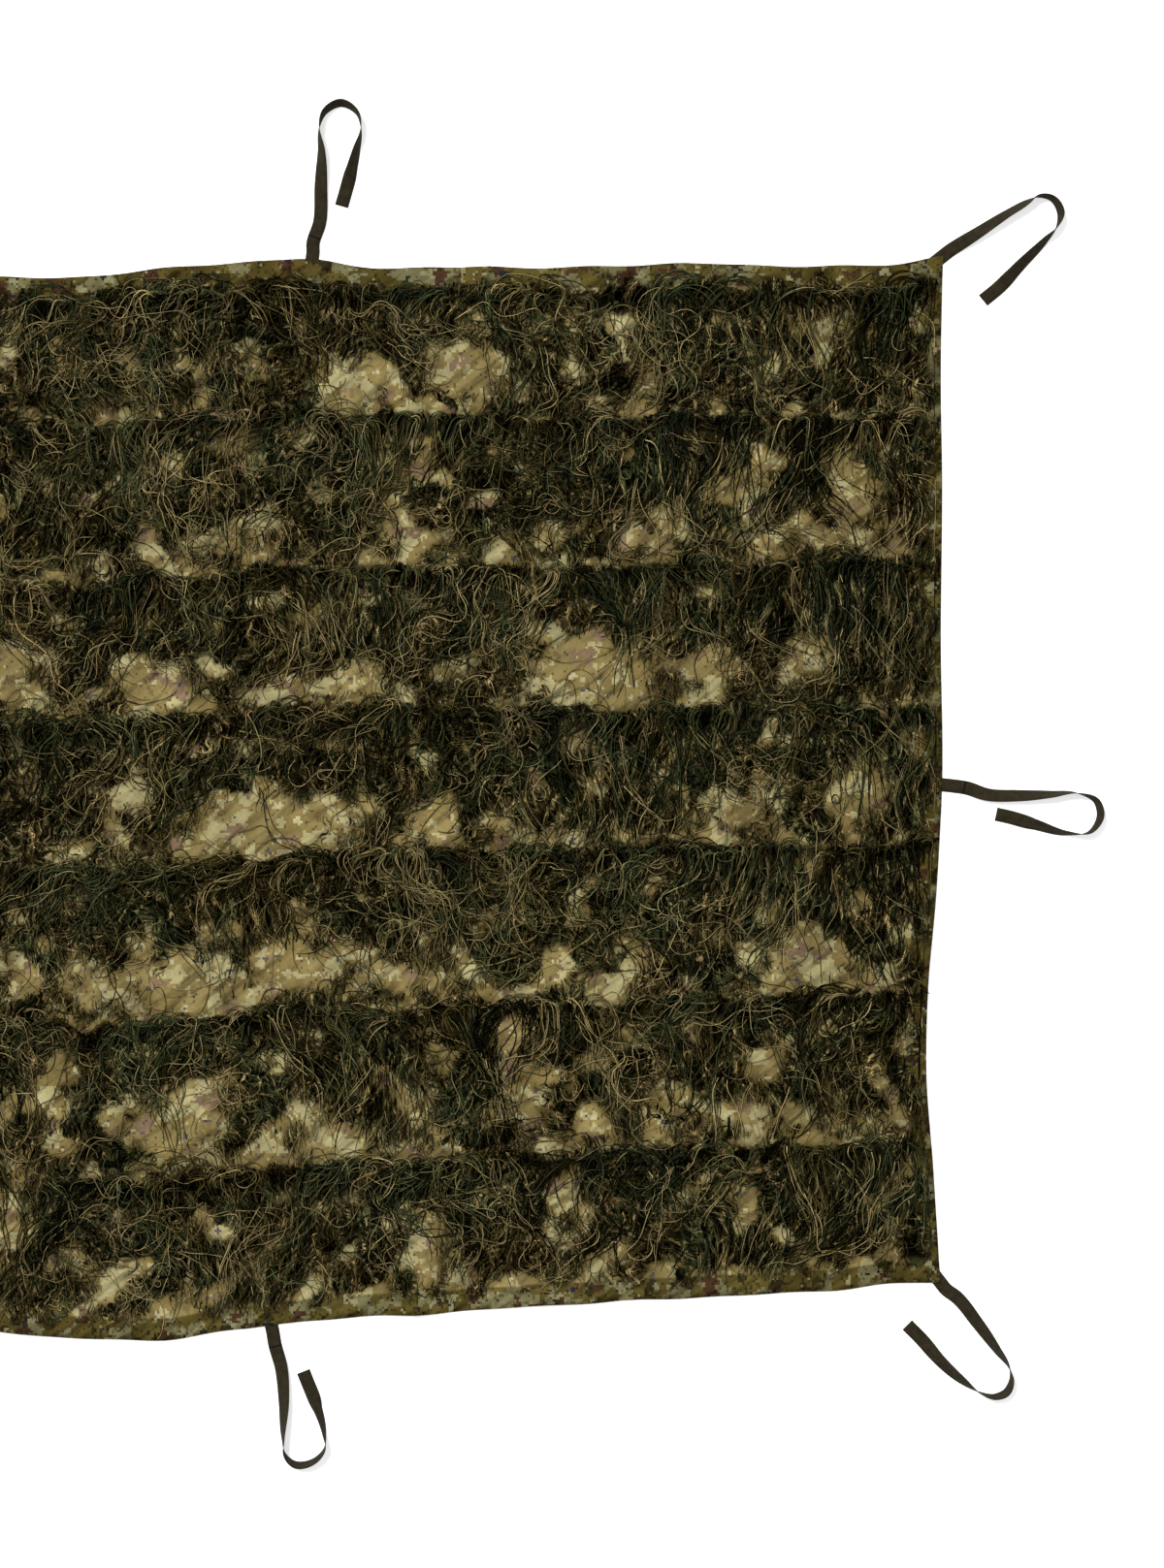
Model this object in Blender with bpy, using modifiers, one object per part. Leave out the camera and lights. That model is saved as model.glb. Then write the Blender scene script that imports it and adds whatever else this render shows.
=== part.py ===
"""Ghillie camouflage net: a printed cloth with seven rows of hanging yarn and eight webbing ties.

The net lies flat on the surface, yarn side up. X runs along its long side, Y up its short side and
Z away from the surface. The origin is on the underside, at the middle of the net. Units are metres.
"""

import math

import bmesh
import bpy
import numpy as np

MM = 0.001
GAP = 0.3 * MM  # between pieces that touch

# The cloth: one printed layer, with a hem folded to two layers all round.
CLOTH_THICK = 1.5 * MM
HEM_THICK = 3.0 * MM
HEM_WIDTH = 33 * MM
HEM_STEP = 3 * MM  # how wide the hem's inner edge slopes
COLUMNS = 27  # spans between the two side hems
SPANS_BETWEEN_ROWS = 3

# The outline as it lies, in millimetres. The left third of the long edges is finished like the right.
TOP_EDGE = (
    # x, y
    (-954, 785),
    (-880, 774),
    (-700, 768),
    (-480, 757),
    (-335, 753),
    (-182, 767),
    (-40, 778),
    (30, 780),
    (90, 771),
    (227, 768),
    (329, 768),
    (585, 774),
    (790, 770),
    (892, 774),
    (954, 785),
)
BOTTOM_EDGE = (
    # x, y
    (-950, -728),
    (-800, -744),
    (-560, -772),
    (-335, -798),
    (-182, -801),
    (-80, -787),
    (23, -774),
    (176, -765),
    (381, -751),
    (585, -740),
    (790, -729),
    (892, -719),
    (950, -717),
)
RIGHT_EDGE = (
    # y, x
    (785, 954),
    (620, 951),
    (440, 953),
    (230, 951),
    (20, 953),
    (-140, 945),
    (-280, 933),
    (-410, 930),
    (-550, 940),
    (-717, 950),
)
LEFT_EDGE = (
    # y, x
    (785, -954),
    (560, -949),
    (300, -952),
    (40, -955),
    (-230, -946),
    (-470, -938),
    (-728, -950),
)

# Soft folds of the cloth: a ridge that lifts both its faces off the surface, in millimetres.
FOLDS = (
    # x, y, heading in degrees, half length, half width, height
    (327, -395, 92, 85, 48, 6),
    (20, -88, 30, 80, 34, 5),
    (-178, 168, 40, 70, 45, 5),
    (425, 172, 28, 85, 45, 5),
    (696, 420, 96, 70, 45, 6),
    (812, 405, 72, 60, 42, 4),
    (-170, -285, 18, 110, 40, 5),
    (215, 450, 65, 70, 42, 5),
    (700, -250, 12, 80, 40, 4),
    (185, -765, 80, 60, 45, 4),
    (370, -752, 100, 55, 42, 4),
    (292, 770, 88, 60, 40, 4),
)
FLAT_BELOW = 0.05 * MM  # lower than this, the cloth lies flat
UNSEEN_FROM = -345  # the net left of this is finished as the mirror of its right third

# Sewing lines of the yarn rows: the share of the way down the cloth, at its left, middle and right.
ROW_LINES = (
    # left, middle, right
    (0.0318, 0.0312, 0.0322),
    (0.1500, 0.1440, 0.1560),
    (0.2920, 0.2930, 0.2930),
    (0.4300, 0.4240, 0.4370),
    (0.5660, 0.5620, 0.5710),
    (0.7150, 0.7080, 0.7190),
    (0.8600, 0.8540, 0.8640),
)
ROW_END_INSET = HEM_WIDTH + 1 * MM  # a row stops where the side hems begin
LOCKS_PER_ROW = 42
HEAD_BEHIND = 8 * MM  # the sewn head of a row, behind and ahead of its line
HEAD_AHEAD = 4 * MM
HEAD_HEIGHT = 13 * MM
HEAD_UNEVEN = 3 * MM
HEAD_WAVER = 1.5 * MM
BAND_HALF = 12 * MM  # the cloth stays flat this far each side of a sewing line

# A lock of yarn, root to tip: three sides, flat below with a crest on top.
LOCK_STATIONS = (
    # share of the length, share of the width, height of the crest
    (0.10, 0.82, 18 * MM),
    (0.34, 0.90, 17 * MM),
    (0.60, 0.90, 14 * MM),
    (0.85, 0.76, 10 * MM),
    (1.00, 0.00, 4 * MM),
)
LOCK_CLEAR = 1.5 * MM  # under a lock, above the folds of the cloth
SWAY = 14 * MM  # how far a lock's tip wanders sideways
SWAY_EASE = 12  # it wanders less beside the side hems
WAVES = 21  # how fast the wander changes along a row, in radians a metre
ROW_MARGIN = 6 * MM  # between a lock's tip and the next row's head
LONGEST_OVER_HEM = 14 * MM  # how far the last row laps onto the bottom hem
HEM_CLEAR = 2.2 * MM
HEM_REACH = 20 * MM  # yarn rises this far before a hem
LOCK_REACH = 24 * MM  # and clears the folds this far round it

# Where the cloth shows bare between the yarn, in millimetres. Locks part round a slit and stop
# short above a wide patch or one that reaches down to the next row.
BARE_PATCHES = (
    # x, y, half width, half height
    (89, 598, 54, 36),
    (256, 618, 62, 50),
    (409, 690, 13, 40),
    (-240, 555, 34, 14),
    (-133, 559, 42, 16),
    (190, 481, 22, 33),
    (152, 402, 27, 36),
    (674, 446, 38, 78),
    (822, 438, 44, 72),
    (-206, 356, 21, 37),
    (-55, 358, 26, 35),
    (167, 358, 53, 15),
    (307, 352, 23, 23),
    (526, 376, 48, 24),
    (703, 375, 60, 20),
    (831, 376, 58, 18),
    (-190, 152, 66, 39),
    (-28, 142, 41, 20),
    (82, 160, 30, 26),
    (450, 184, 118, 50),
    (621, 172, 25, 31),
    (768, 200, 24, 36),
    (703, 95, 18, 26),
    (-229, 13, 14, 44),
    (-31, -50, 128, 45),
    (198, -38, 40, 29),
    (304, -44, 25, 20),
    (648, -32, 68, 29),
    (836, 8, 40, 50),
    (-291, -290, 48, 28),
    (-149, -281, 92, 43),
    (12, -254, 76, 40),
    (160, -274, 88, 22),
    (397, -258, 36, 29),
    (485, -273, 25, 32),
    (748, -246, 78, 40),
    (-163, -490, 70, 53),
    (61, -500, 54, 31),
    (186, -466, 30, 46),
    (338, -400, 34, 98),
    (449, -484, 29, 20),
    (532, -468, 23, 36),
    (655, -470, 55, 25),
    (802, -482, 88, 18),
    (707, -387, 16, 34),
    (200, -662, 26, 70),
    (404, -606, 16, 58),
    (442, -701, 33, 16),
    (658, -594, 16, 25),
    (-271, -715, 42, 28),
    (-119, -736, 23, 20),
)
PARTING_REACH = 75 * MM  # how far round a patch the locks are pressed aside
PARTING_EARLY = 1.35  # they start to part at this many times its half height
SHORTEST_LOCK = 75 * MM
WIDE_PATCH = 35 * MM  # locks part round a patch with less than this half width
REACHES_END = 13 * MM  # unless it comes this near the end of the drop, where they stop above it
UNEVEN_END = 14 * MM
TIP_ROOM = 12 * MM  # a lock ends at its tip rather than pass a station this near where it stops
SHORTEST_TIP = 0.35  # of the way to the next station
FREE_SHARE = 0.3  # nearer the root than this share of its length, a lock yields less

# The webbing ties.
TIE_WIDTH = 20 * MM
TIE_THICK = 1.5 * MM
TIE_SPANS = 32
TIE_IN_HEM = 24 * MM  # the sewn end inside the hem
TIE_LEADS_OUT = 12 * MM  # straight run just outside the hem
TAIL_FLAT = 28 * MM  # the free end lies flat
TAIL_EASE = 30 * MM
POCKET_MARGIN = 1 * MM  # past the tie's sewn end
POCKET_OPENS = 12 * MM  # past the hem's edge
POCKET_BELOW = 2 * MM  # past the cloth's underside

# The ties' routes over the surface, in millimetres. A tie lies flat at lean 0 and stands on its
# edge at lean 90, with the edge that faces the inside of its loop raised.
TIE_ROUTES = {
    # x, y, lean in degrees
    "tie_top": (
        (32, 800, 0),
        (42, 834, 10),
        (44, 886, 28),
        (45, 938, 62),
        (42, 974, 88),
        (49, 994, 106),
        (74, 1008, 116),
        (98, 993, 104),
        (103, 971, 92),
        (96, 938, 60),
        (82, 886, 22),
        (74, 858, 0),
    ),
    "tie_top_right": (
        (980, 803, 8),
        (1001, 816, 24),
        (1046, 845, 50),
        (1080, 865, 70),
        (1090, 871, 90),
        (1114, 868, 108),
        (1126, 848, 116),
        (1120, 826, 92),
        (1104, 808, 66),
        (1068, 772, 38),
        (1035, 738, 12),
        (1013, 720, 0),
    ),
    "tie_right": (
        (990, 6, 0),
        (1017, -3, 18),
        (1064, -5, 32),
        (1111, -3, 60),
        (1149, -1, 88),
        (1179, -14, 112),
        (1184, -34, 116),
        (1169, -58, 100),
        (1135, -60, 72),
        (1088, -47, 38),
        (1050, -36, 10),
        (1032, -32, 0),
    ),
    "tie_bottom_right": (
        (974, -739, 8),
        (1004, -776, 24),
        (1032, -814, 54),
        (1051, -842, 84),
        (1054, -860, 104),
        (1046, -878, 116),
        (1030, -884, 108),
        (1008, -878, 90),
        (984, -862, 56),
        (950, -832, 28),
        (922, -800, 8),
        (902, -780, 0),
    ),
    "tie_bottom": (
        (-24, -806, 0),
        (-14, -843, 12),
        (-10, -892, 36),
        (-11, -947, 76),
        (-9, -968, 94),
        (6, -983, 112),
        (31, -980, 110),
        (50, -960, 98),
        (49, -936, 78),
        (36, -892, 44),
        (26, -868, 12),
        (18, -848, 0),
    ),
}
# Where each tie leaves the hem, and its heading there in degrees.
TIE_ROOTS = {
    # x, y, heading
    "tie_top": (31, 780, 84),
    "tie_top_right": (954, 785, 38),
    "tie_right": (953, 11, -6),
    "tie_bottom_right": (950, -717, -52),
    "tie_bottom": (-29, -779, -78),
}
TIE_TURNS = {
    # +1 where the loop turns left as the tie leaves the hem, -1 where it turns right
    "tie_top": -1,
    "tie_top_right": -1,
    "tie_right": -1,
    "tie_bottom_right": -1,
    "tie_bottom": 1,
}
MIRRORED_TIES = {
    # the ties of the unseen side, and the tie that each is the mirror of
    "tie_top_left": "tie_top_right",
    "tie_left": "tie_right",
    "tie_bottom_left": "tie_bottom_right",
}

CLOTH_GREEN = (0.42, 0.36, 0.19)
YARN_GREEN = (0.10, 0.10, 0.05)
WEBBING_BROWN = (0.055, 0.045, 0.032)


# ---------------------------------------------------------------- scene and small tools


def clear_scene():
    for obj in list(bpy.data.objects):
        bpy.data.objects.remove(obj, do_unlink=True)


def new_collection(name):
    collection = bpy.data.collections.new(name)
    bpy.context.scene.collection.children.link(collection)
    return collection


def material(name, colour, roughness):
    made = bpy.data.materials.new(name)
    made.use_nodes = True
    shader = made.node_tree.nodes["Principled BSDF"]
    shader.inputs["Base Color"].default_value = (*colour, 1)
    shader.inputs["Roughness"].default_value = roughness
    shader.inputs["Metallic"].default_value = 0.0
    return made


def object_from(bm, name, collection, finish=None):
    mesh = bpy.data.meshes.new(name)
    bm.to_mesh(mesh)
    bm.free()
    obj = bpy.data.objects.new(name, mesh)
    collection.objects.link(obj)
    if finish:
        mesh.materials.append(finish)
    return obj


def smooth_through(points, at):
    """Values at these places of a smooth curve through (place, value) points."""
    knots = sorted(points)
    x = np.array([p[0] for p in knots], float)
    y = np.array([p[1] for p in knots], float)
    slope = np.gradient(y, x)
    at = np.clip(np.asarray(at, float), x[0], x[-1])
    i = np.clip(np.searchsorted(x, at) - 1, 0, len(x) - 2)
    span = x[i + 1] - x[i]
    t = (at - x[i]) / span
    rise, fall = t * t * (3 - 2 * t), t * (1 - t) ** 2
    leave = t * t * (t - 1)
    return y[i] * (1 - rise) + y[i + 1] * rise + span * (slope[i] * fall + slope[i + 1] * leave)


def with_unseen_side(table):
    """A table of rows that start with x, and the mirror of what lies right of the seen middle."""
    return list(table) + [(-row[0], *row[1:]) for row in table if row[0] > -UNSEEN_FROM]


# ---------------------------------------------------------------- the cloth's surface


def outline_x(share_down, table):
    """x of a side edge at a share of the way down, in metres."""
    top, bottom = table[0][0], table[-1][0]
    return smooth_through(table, top + (bottom - top) * share_down) * MM


def outline_y(share_across, table):
    """y of a long edge at a share of the way across, in metres."""
    left, right = table[0][0], table[-1][0]
    return smooth_through(table, left + (right - left) * share_across) * MM


def cloth_point(u, v):
    """x and y of the cloth at shares u across and v down, blended from its four edges."""
    x = (1 - u) * outline_x(v, LEFT_EDGE) + u * outline_x(v, RIGHT_EDGE)
    y = (1 - v) * outline_y(u, TOP_EDGE) + v * outline_y(u, BOTTOM_EDGE)
    return x, y


def row_share(row, u):
    """The share of the way down the cloth of a row's sewing line."""
    left, middle, right = ROW_LINES[row]
    return smooth_through(((0, left), (0.5, middle), (1, right)), u)


def cloth_height():
    return (TOP_EDGE[0][1] - BOTTOM_EDGE[0][1]) * MM


def cloth_width():
    return (TOP_EDGE[-1][0] - TOP_EDGE[0][0]) * MM


def fold_height(x, y):
    """How far the folds lift the cloth off the surface."""
    lift = 0.0
    for fx, fy, heading, half_length, half_width, height in with_unseen_side(FOLDS):
        if fx < UNSEEN_FROM:
            heading = 180 - heading
        turn = math.radians(heading)
        dx, dy = x - fx * MM, y - fy * MM
        along = dx * math.cos(turn) + dy * math.sin(turn)
        across = dy * math.cos(turn) - dx * math.sin(turn)
        ridge = math.exp(-((across / (half_width * MM)) ** 2) * 2)
        fade = math.exp(-((along / (half_length * MM)) ** 4))
        lift += height * MM * ridge * fade
    return lift if lift > FLAT_BELOW else 0.0


def lifts_between_rows(u, v):
    """0 on a row's flat band and at the outer edges, and 1 midway between."""
    band = BAND_HALF / cloth_height()
    lines = [row_share(row, u) for row in range(len(ROW_LINES))]
    away = min(abs(v - line) for line in lines) - band
    return min(1.0, max(0.0, away / band))


def grid_lines(u):
    """The shares down the cloth of the grid's lines, at a share across."""
    height = cloth_height()
    hem, step, band = HEM_WIDTH / height, HEM_STEP / height, BAND_HALF / height
    first = float(row_share(0, u))
    lines = [0.0, hem - step, first - HEAD_BEHIND / height, first + band]
    for row in range(1, len(ROW_LINES)):
        line = float(row_share(row, u))
        start, end = lines[-1], line - band
        for k in range(1, SPANS_BETWEEN_ROWS):
            lines.append(start + (end - start) * k / SPANS_BETWEEN_ROWS)
        lines += [end, line + band]
    start, end = lines[-1], 1 - hem
    lines += [(start + end) / 2, end, 1 - hem + step, 1.0]
    return lines


def grid_columns():
    hem, step = HEM_WIDTH / cloth_width(), HEM_STEP / cloth_width()
    inner = [hem + (1 - 2 * hem) * k / COLUMNS for k in range(COLUMNS + 1)]
    return [0.0, hem - step, *inner, 1 - hem + step, 1.0]


def make_cloth(collection, finish):
    columns = grid_columns()
    line_count = len(grid_lines(0.0))
    bm = bmesh.new()
    bmesh.ops.create_grid(bm, x_segments=len(columns) - 1, y_segments=line_count - 1, size=1)
    layers = bm.verts.layers.deform.verify()
    single = CLOTH_THICK / HEM_THICK
    for vert in bm.verts:
        i = round((vert.co.x + 1) / 2 * (len(columns) - 1))
        j = round((1 - vert.co.y) / 2 * (line_count - 1))
        u, v = columns[i], grid_lines(columns[i])[j]
        x, y = (float(c) for c in cloth_point(u, v))
        vert.co = (x, y, fold_height(x, y) * lifts_between_rows(u, v))
        on_hem = i < 2 or i > len(columns) - 3 or j < 2 or j > line_count - 3
        vert[layers][0] = 1.0 if on_hem else single
    cloth = object_from(bm, "cover_cloth", collection, finish)
    cloth.vertex_groups.new(name="layers")
    thicken = cloth.modifiers.new("thicken", "SOLIDIFY")
    thicken.thickness = HEM_THICK
    thicken.offset = 1.0
    thicken.vertex_group = "layers"
    return cloth


# ---------------------------------------------------------------- the rows of yarn


def aside(x, y, patches):
    """x after the yarn is pressed aside by the patches that it parts round."""
    for px, py, half_width, half_height in patches:
        away_y = (y - py * MM) / (half_height * PARTING_EARLY * MM)
        if abs(away_y) >= 1:
            continue
        hole = half_width * MM * math.sqrt(1 - away_y * away_y)
        reach = hole + PARTING_REACH
        offset = x - px * MM
        if abs(offset) < reach:
            pressed = hole + abs(offset) * (reach - hole) / reach
            x = px * MM + math.copysign(pressed, offset)
    return x


def row_point(row, u):
    """x and y of a row's sewing line at a share across."""
    x, y = cloth_point(u, row_share(row, u))
    return float(x), float(y)


def row_end(row, u):
    """y where the yarn of a row stops, short of the next row or a little way onto the bottom hem."""
    if row == len(ROW_LINES) - 1:
        return float(cloth_point(u, 1.0)[1]) + HEM_WIDTH - LONGEST_OVER_HEM
    return row_point(row + 1, u)[1] + HEAD_BEHIND + ROW_MARGIN


def hanging_x(row, u, share, y, patches):
    """x of a lock's middle at a share of the full drop, swayed and pressed aside by the patches."""
    top, bottom = float(cloth_point(u, 0.0)[1]), float(cloth_point(u, 1.0)[1])
    x = float(cloth_point(u, (top - y) / (top - bottom))[0])
    phase = x * WAVES + row * 1.7
    steady = min(1.0, SWAY_EASE * u * (1 - u))
    x += SWAY * steady * share * (math.sin(phase) + 0.5 * math.sin(2.3 * phase + row))
    yields = min(1.0, share / FREE_SHARE)
    return x + (aside(x, y, patches) - x) * yields


def sort_patches(row):
    """The patches below a row: those its locks part round, and those its locks stop above."""
    parted, stopping = [], []
    for patch in with_unseen_side(BARE_PATCHES):
        x, y, half_height = patch[0] * MM, patch[1] * MM, patch[3] * MM
        u = min(1.0, max(0.0, x / cloth_width() + 0.5))
        line, end = row_point(row, u)[1], row_end(row, u)
        if end - half_height < y < line:
            slit = patch[2] * MM < WIDE_PATCH and y - half_height > end + REACHES_END
            (parted if slit else stopping).append(patch)
    return parted, stopping


def stop_above(line, line_y, patches):
    """y where a lock stops: at its own uneven end, or above the first patch in its way."""
    end_x, end_y = line[-1]
    stop = end_y + UNEVEN_END * abs(math.sin(end_x * WAVES * 3))
    for px, py, half_width, half_height in patches:
        x = np.interp(-py * MM, [-y for _, y in line], [x for x, _ in line])
        inside = 1 - ((x - px * MM) / (half_width * MM)) ** 2
        if inside > 0:
            rim = (py + half_height * math.sqrt(inside)) * MM
            stop = max(stop, min(rim, line_y - SHORTEST_LOCK))
    return stop


def make_row(row, collection, finish):
    """A sewn head with locks extruded from its front, one closed mesh."""
    inset = ROW_END_INSET / cloth_width()
    shares = np.linspace(inset, 1 - inset, LOCKS_PER_ROW + 1)
    low = CLOTH_THICK + GAP
    bm = bmesh.new()
    front, back, ridge = [], [], []
    for k, u in enumerate(shares):
        x, y = row_point(row, u)
        bump = math.sin(k * 2.1 + row * 1.3)
        front.append(bm.verts.new((x, y - HEAD_AHEAD, low)))
        back.append(bm.verts.new((x, y + HEAD_BEHIND, low)))
        ridge.append(bm.verts.new((x, y + HEAD_WAVER * bump, low + HEAD_HEIGHT + HEAD_UNEVEN * bump)))
    roots = []
    for k in range(LOCKS_PER_ROW):
        bm.faces.new((back[k], back[k + 1], front[k + 1], front[k]))
        bm.faces.new((ridge[k], ridge[k + 1], back[k + 1], back[k]))
        bm.faces.new((ridge[k], front[k + 1], ridge[k + 1]))
        roots.append(bm.faces.new((front[k], front[k + 1], ridge[k])))
    bm.faces.new((front[0], ridge[0], back[0]))
    bm.faces.new((front[-1], back[-1], ridge[-1]))

    parted, stopping = sort_patches(row)
    middles = (shares[:-1] + shares[1:]) / 2
    lines = [lock_line(row, u, parted) for u in middles]
    for k, root in enumerate(roots):
        line_y = row_point(row, middles[k])[1]
        stop = stop_above(lines[k], line_y, stopping)
        grow_lock(bm, root, lines, k, stop)
    bmesh.ops.recalc_face_normals(bm, faces=bm.faces)
    return object_from(bm, f"yarn_row_{row + 1}", collection, finish)


def lock_line(row, u, parted):
    """x and y of the stations of a lock that runs the full drop."""
    start, end = row_point(row, u)[1] - HEAD_AHEAD, row_end(row, u)
    line = []
    for share, _, _ in LOCK_STATIONS:
        y = start + (end - start) * share
        line.append((hanging_x(row, u, share, y, parted), y))
    return line


def room_beside(lines, k, station):
    """The distance to the nearer neighbour at a station of lock k."""
    x = lines[k][station][0]
    return min(abs(lines[j][station][0] - x) for j in (k - 1, k + 1) if 0 <= j < len(lines))


def grow_lock(bm, root, lines, k, stop):
    """Extrudes a root face along its line, three corners a station, to a point where it stops."""
    face = root
    tip_x, tip_y = lines[k][-1]
    for station, (_, width_share, crest) in enumerate(LOCK_STATIONS[:-1]):
        x, y = lines[k][station]
        next_x, next_y = lines[k][station + 1]
        half = room_beside(lines, k, station) * width_share / 2
        face = extrude_to(bm, face, (x, y), half, crest)
        if next_y < stop + TIP_ROOM:
            way = min(1.0, max(SHORTEST_TIP, (y - stop) / (y - next_y)))
            tip_x, tip_y = x + (next_x - x) * way, y + (next_y - y) * way
            break
    face = extrude_to(bm, face, (tip_x, tip_y), 0.0, LOCK_STATIONS[-1][2])
    bmesh.ops.pointmerge(bm, verts=list(face.verts), merge_co=face.calc_center_median())


def extrude_to(bm, face, place, half, crest):
    """The end face of a lock after one more step: two corners on the bearing height, one on the crest."""
    x, y = place
    base = bearing_height(x, y)
    face = bmesh.ops.extrude_discrete_faces(bm, faces=[face])["faces"][0]
    corners = list(face.verts)
    corners[0].co = (x - half, y, base)
    corners[1].co = (x + half, y, base)
    corners[2].co = (x, y, base + crest)
    return face


def bearing_height(x, y):
    """The height at which yarn lies clear of the cloth, its hem and the folds within reach."""
    u = (x / MM - TOP_EDGE[0][0]) / (TOP_EDGE[-1][0] - TOP_EDGE[0][0])
    hem_top = float(outline_y(u, BOTTOM_EDGE)) + HEM_WIDTH + HEM_REACH
    side_hem = float(cloth_point(1, 0.5)[0]) - HEM_WIDTH - HEM_REACH
    over_hem = HEM_CLEAR if abs(x) > side_hem or y < hem_top else 0.0
    reach = (-LOCK_REACH, 0.0, LOCK_REACH)
    fold = max(fold_height(x + dx, y + dy) for dx in reach for dy in reach)
    return CLOTH_THICK + over_hem + fold + LOCK_CLEAR


# ---------------------------------------------------------------- the ties


def tie_tables():
    """Each tie's root, route and turn, those of the unseen side mirrored."""
    found = {}
    for name, route in TIE_ROUTES.items():
        found[name] = (TIE_ROOTS[name], route, TIE_TURNS[name])
    for name, source in MIRRORED_TIES.items():
        (x, y, heading), route, turn = found[source]
        flipped = tuple((-px, py, lean) for px, py, lean in route)
        found[name] = ((-x, y, 180 - heading), flipped, -turn)
    return found


def tie_stations(root, route):
    """Points and leans evenly spaced along a tie, from its sewn end to its free end."""
    x, y, heading = root
    ahead = np.array((math.cos(math.radians(heading)), math.sin(math.radians(heading))))
    start = np.array((x, y), float)
    inside, outside = TIE_IN_HEM / MM, TIE_LEADS_OUT / MM
    points = [start - ahead * inside, start, start + ahead * outside]
    leans = [0.0, 0.0, 0.0]
    for px, py, lean in route:
        points.append(np.array((px, py), float))
        leans.append(float(lean))
    points = np.array(points)
    run = np.concatenate([[0], np.cumsum(np.linalg.norm(np.diff(points, axis=0), axis=1))])
    at = np.linspace(0, run[-1], TIE_SPANS + 1)
    xs = smooth_through(list(zip(run, points[:, 0])), at) * MM
    ys = smooth_through(list(zip(run, points[:, 1])), at) * MM
    from_end = (run[-1] - at) * MM
    eased = np.clip((from_end - TAIL_FLAT) / TAIL_EASE, 0, 1)
    return np.stack([xs, ys], axis=1), np.interp(at, run, leans) * eased


def make_tie(name, root, route, turn, collection, finish):
    """A flat webbing strip that twists onto its edge round its loop."""
    centres, leans = tie_stations(root, route)
    ahead = np.gradient(centres, axis=0)
    ahead /= np.linalg.norm(ahead, axis=1)[:, None]
    bm = bmesh.new()
    bmesh.ops.create_grid(bm, x_segments=TIE_SPANS, y_segments=1, size=1)
    for vert in bm.verts:
        i = round((vert.co.x + 1) / 2 * TIE_SPANS)
        edge = 1 if vert.co.y > 0 else -1
        lean = math.radians(leans[i])
        inwards = np.array((-ahead[i][1], ahead[i][0])) * turn
        half = TIE_WIDTH / 2 * edge
        middle = abs(math.sin(lean)) * TIE_WIDTH / 2 + abs(math.cos(lean)) * TIE_THICK / 2
        x, y = centres[i] + inwards * half * math.cos(lean)
        vert.co = (x, y, middle + half * math.sin(lean))
    bmesh.ops.recalc_face_normals(bm, faces=bm.faces)
    tie = object_from(bm, name, collection, finish)
    thicken = tie.modifiers.new("thicken", "SOLIDIFY")
    thicken.thickness = TIE_THICK
    thicken.offset = 0.0
    thicken.use_even_offset = True
    return tie


def cut_pocket(cloth, name, root, cutters):
    """Opens the underside of the hem for a tie's sewn end."""
    x, y, heading = root
    turn = math.radians(heading)
    length, high = TIE_IN_HEM + POCKET_MARGIN, TIE_THICK + GAP
    middle = (POCKET_OPENS - length) / 2
    bpy.ops.mesh.primitive_cube_add(size=1)
    cutter = bpy.context.active_object
    cutter.name = "pocket_" + name
    for collection in list(cutter.users_collection):
        collection.objects.unlink(cutter)
    cutters.objects.link(cutter)
    cutter.scale = (length + POCKET_OPENS, TIE_WIDTH + 2 * GAP, high + POCKET_BELOW)
    cutter.rotation_euler = (0, 0, turn)
    cutter.location = (
        x * MM + middle * math.cos(turn),
        y * MM + middle * math.sin(turn),
        (high - POCKET_BELOW) / 2,
    )
    cutter.hide_render = True
    cutter.display_type = "WIRE"
    cut = cloth.modifiers.new("pocket", "BOOLEAN")
    cut.operation = "DIFFERENCE"
    cut.object = cutter


def main():
    clear_scene()
    parts = new_collection("camouflage_net")
    cutters = new_collection("cutters")
    printed = material("printed_cloth", CLOTH_GREEN, 0.9)
    yarn = material("yarn", YARN_GREEN, 0.95)
    webbing = material("webbing", WEBBING_BROWN, 0.7)
    cloth = make_cloth(parts, printed)
    for row in range(len(ROW_LINES)):
        make_row(row, parts, yarn)
    for name, (root, route, turn) in tie_tables().items():
        make_tie(name, root, route, turn, parts, webbing)
        cut_pocket(cloth, name, root, cutters)


main()
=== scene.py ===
"""The looks of a ghillie camouflage net that lies spread on a pale floor, seen from above.

Lengths are in metres. The tables are in millimetres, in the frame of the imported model: X along the
net's long side, Y up its short side, Z away from the floor.
"""

import math

import bpy
import numpy as np
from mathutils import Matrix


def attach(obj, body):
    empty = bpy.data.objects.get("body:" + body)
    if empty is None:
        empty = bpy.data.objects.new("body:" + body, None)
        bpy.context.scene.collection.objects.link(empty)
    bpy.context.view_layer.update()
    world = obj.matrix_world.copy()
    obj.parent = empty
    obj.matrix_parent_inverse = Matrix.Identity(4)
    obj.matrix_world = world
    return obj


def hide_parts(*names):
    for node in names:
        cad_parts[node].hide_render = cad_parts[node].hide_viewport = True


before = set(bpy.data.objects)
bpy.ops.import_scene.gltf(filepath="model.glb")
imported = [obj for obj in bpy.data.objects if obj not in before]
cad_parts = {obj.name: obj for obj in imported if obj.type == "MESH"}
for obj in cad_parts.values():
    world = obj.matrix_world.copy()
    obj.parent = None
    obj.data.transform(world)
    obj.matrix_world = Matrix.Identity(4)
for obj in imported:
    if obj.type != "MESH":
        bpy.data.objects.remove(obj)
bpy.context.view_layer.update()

MM = 0.001
SEED = 20

# ---------------------------------------------------------------- the net's sizes

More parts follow.
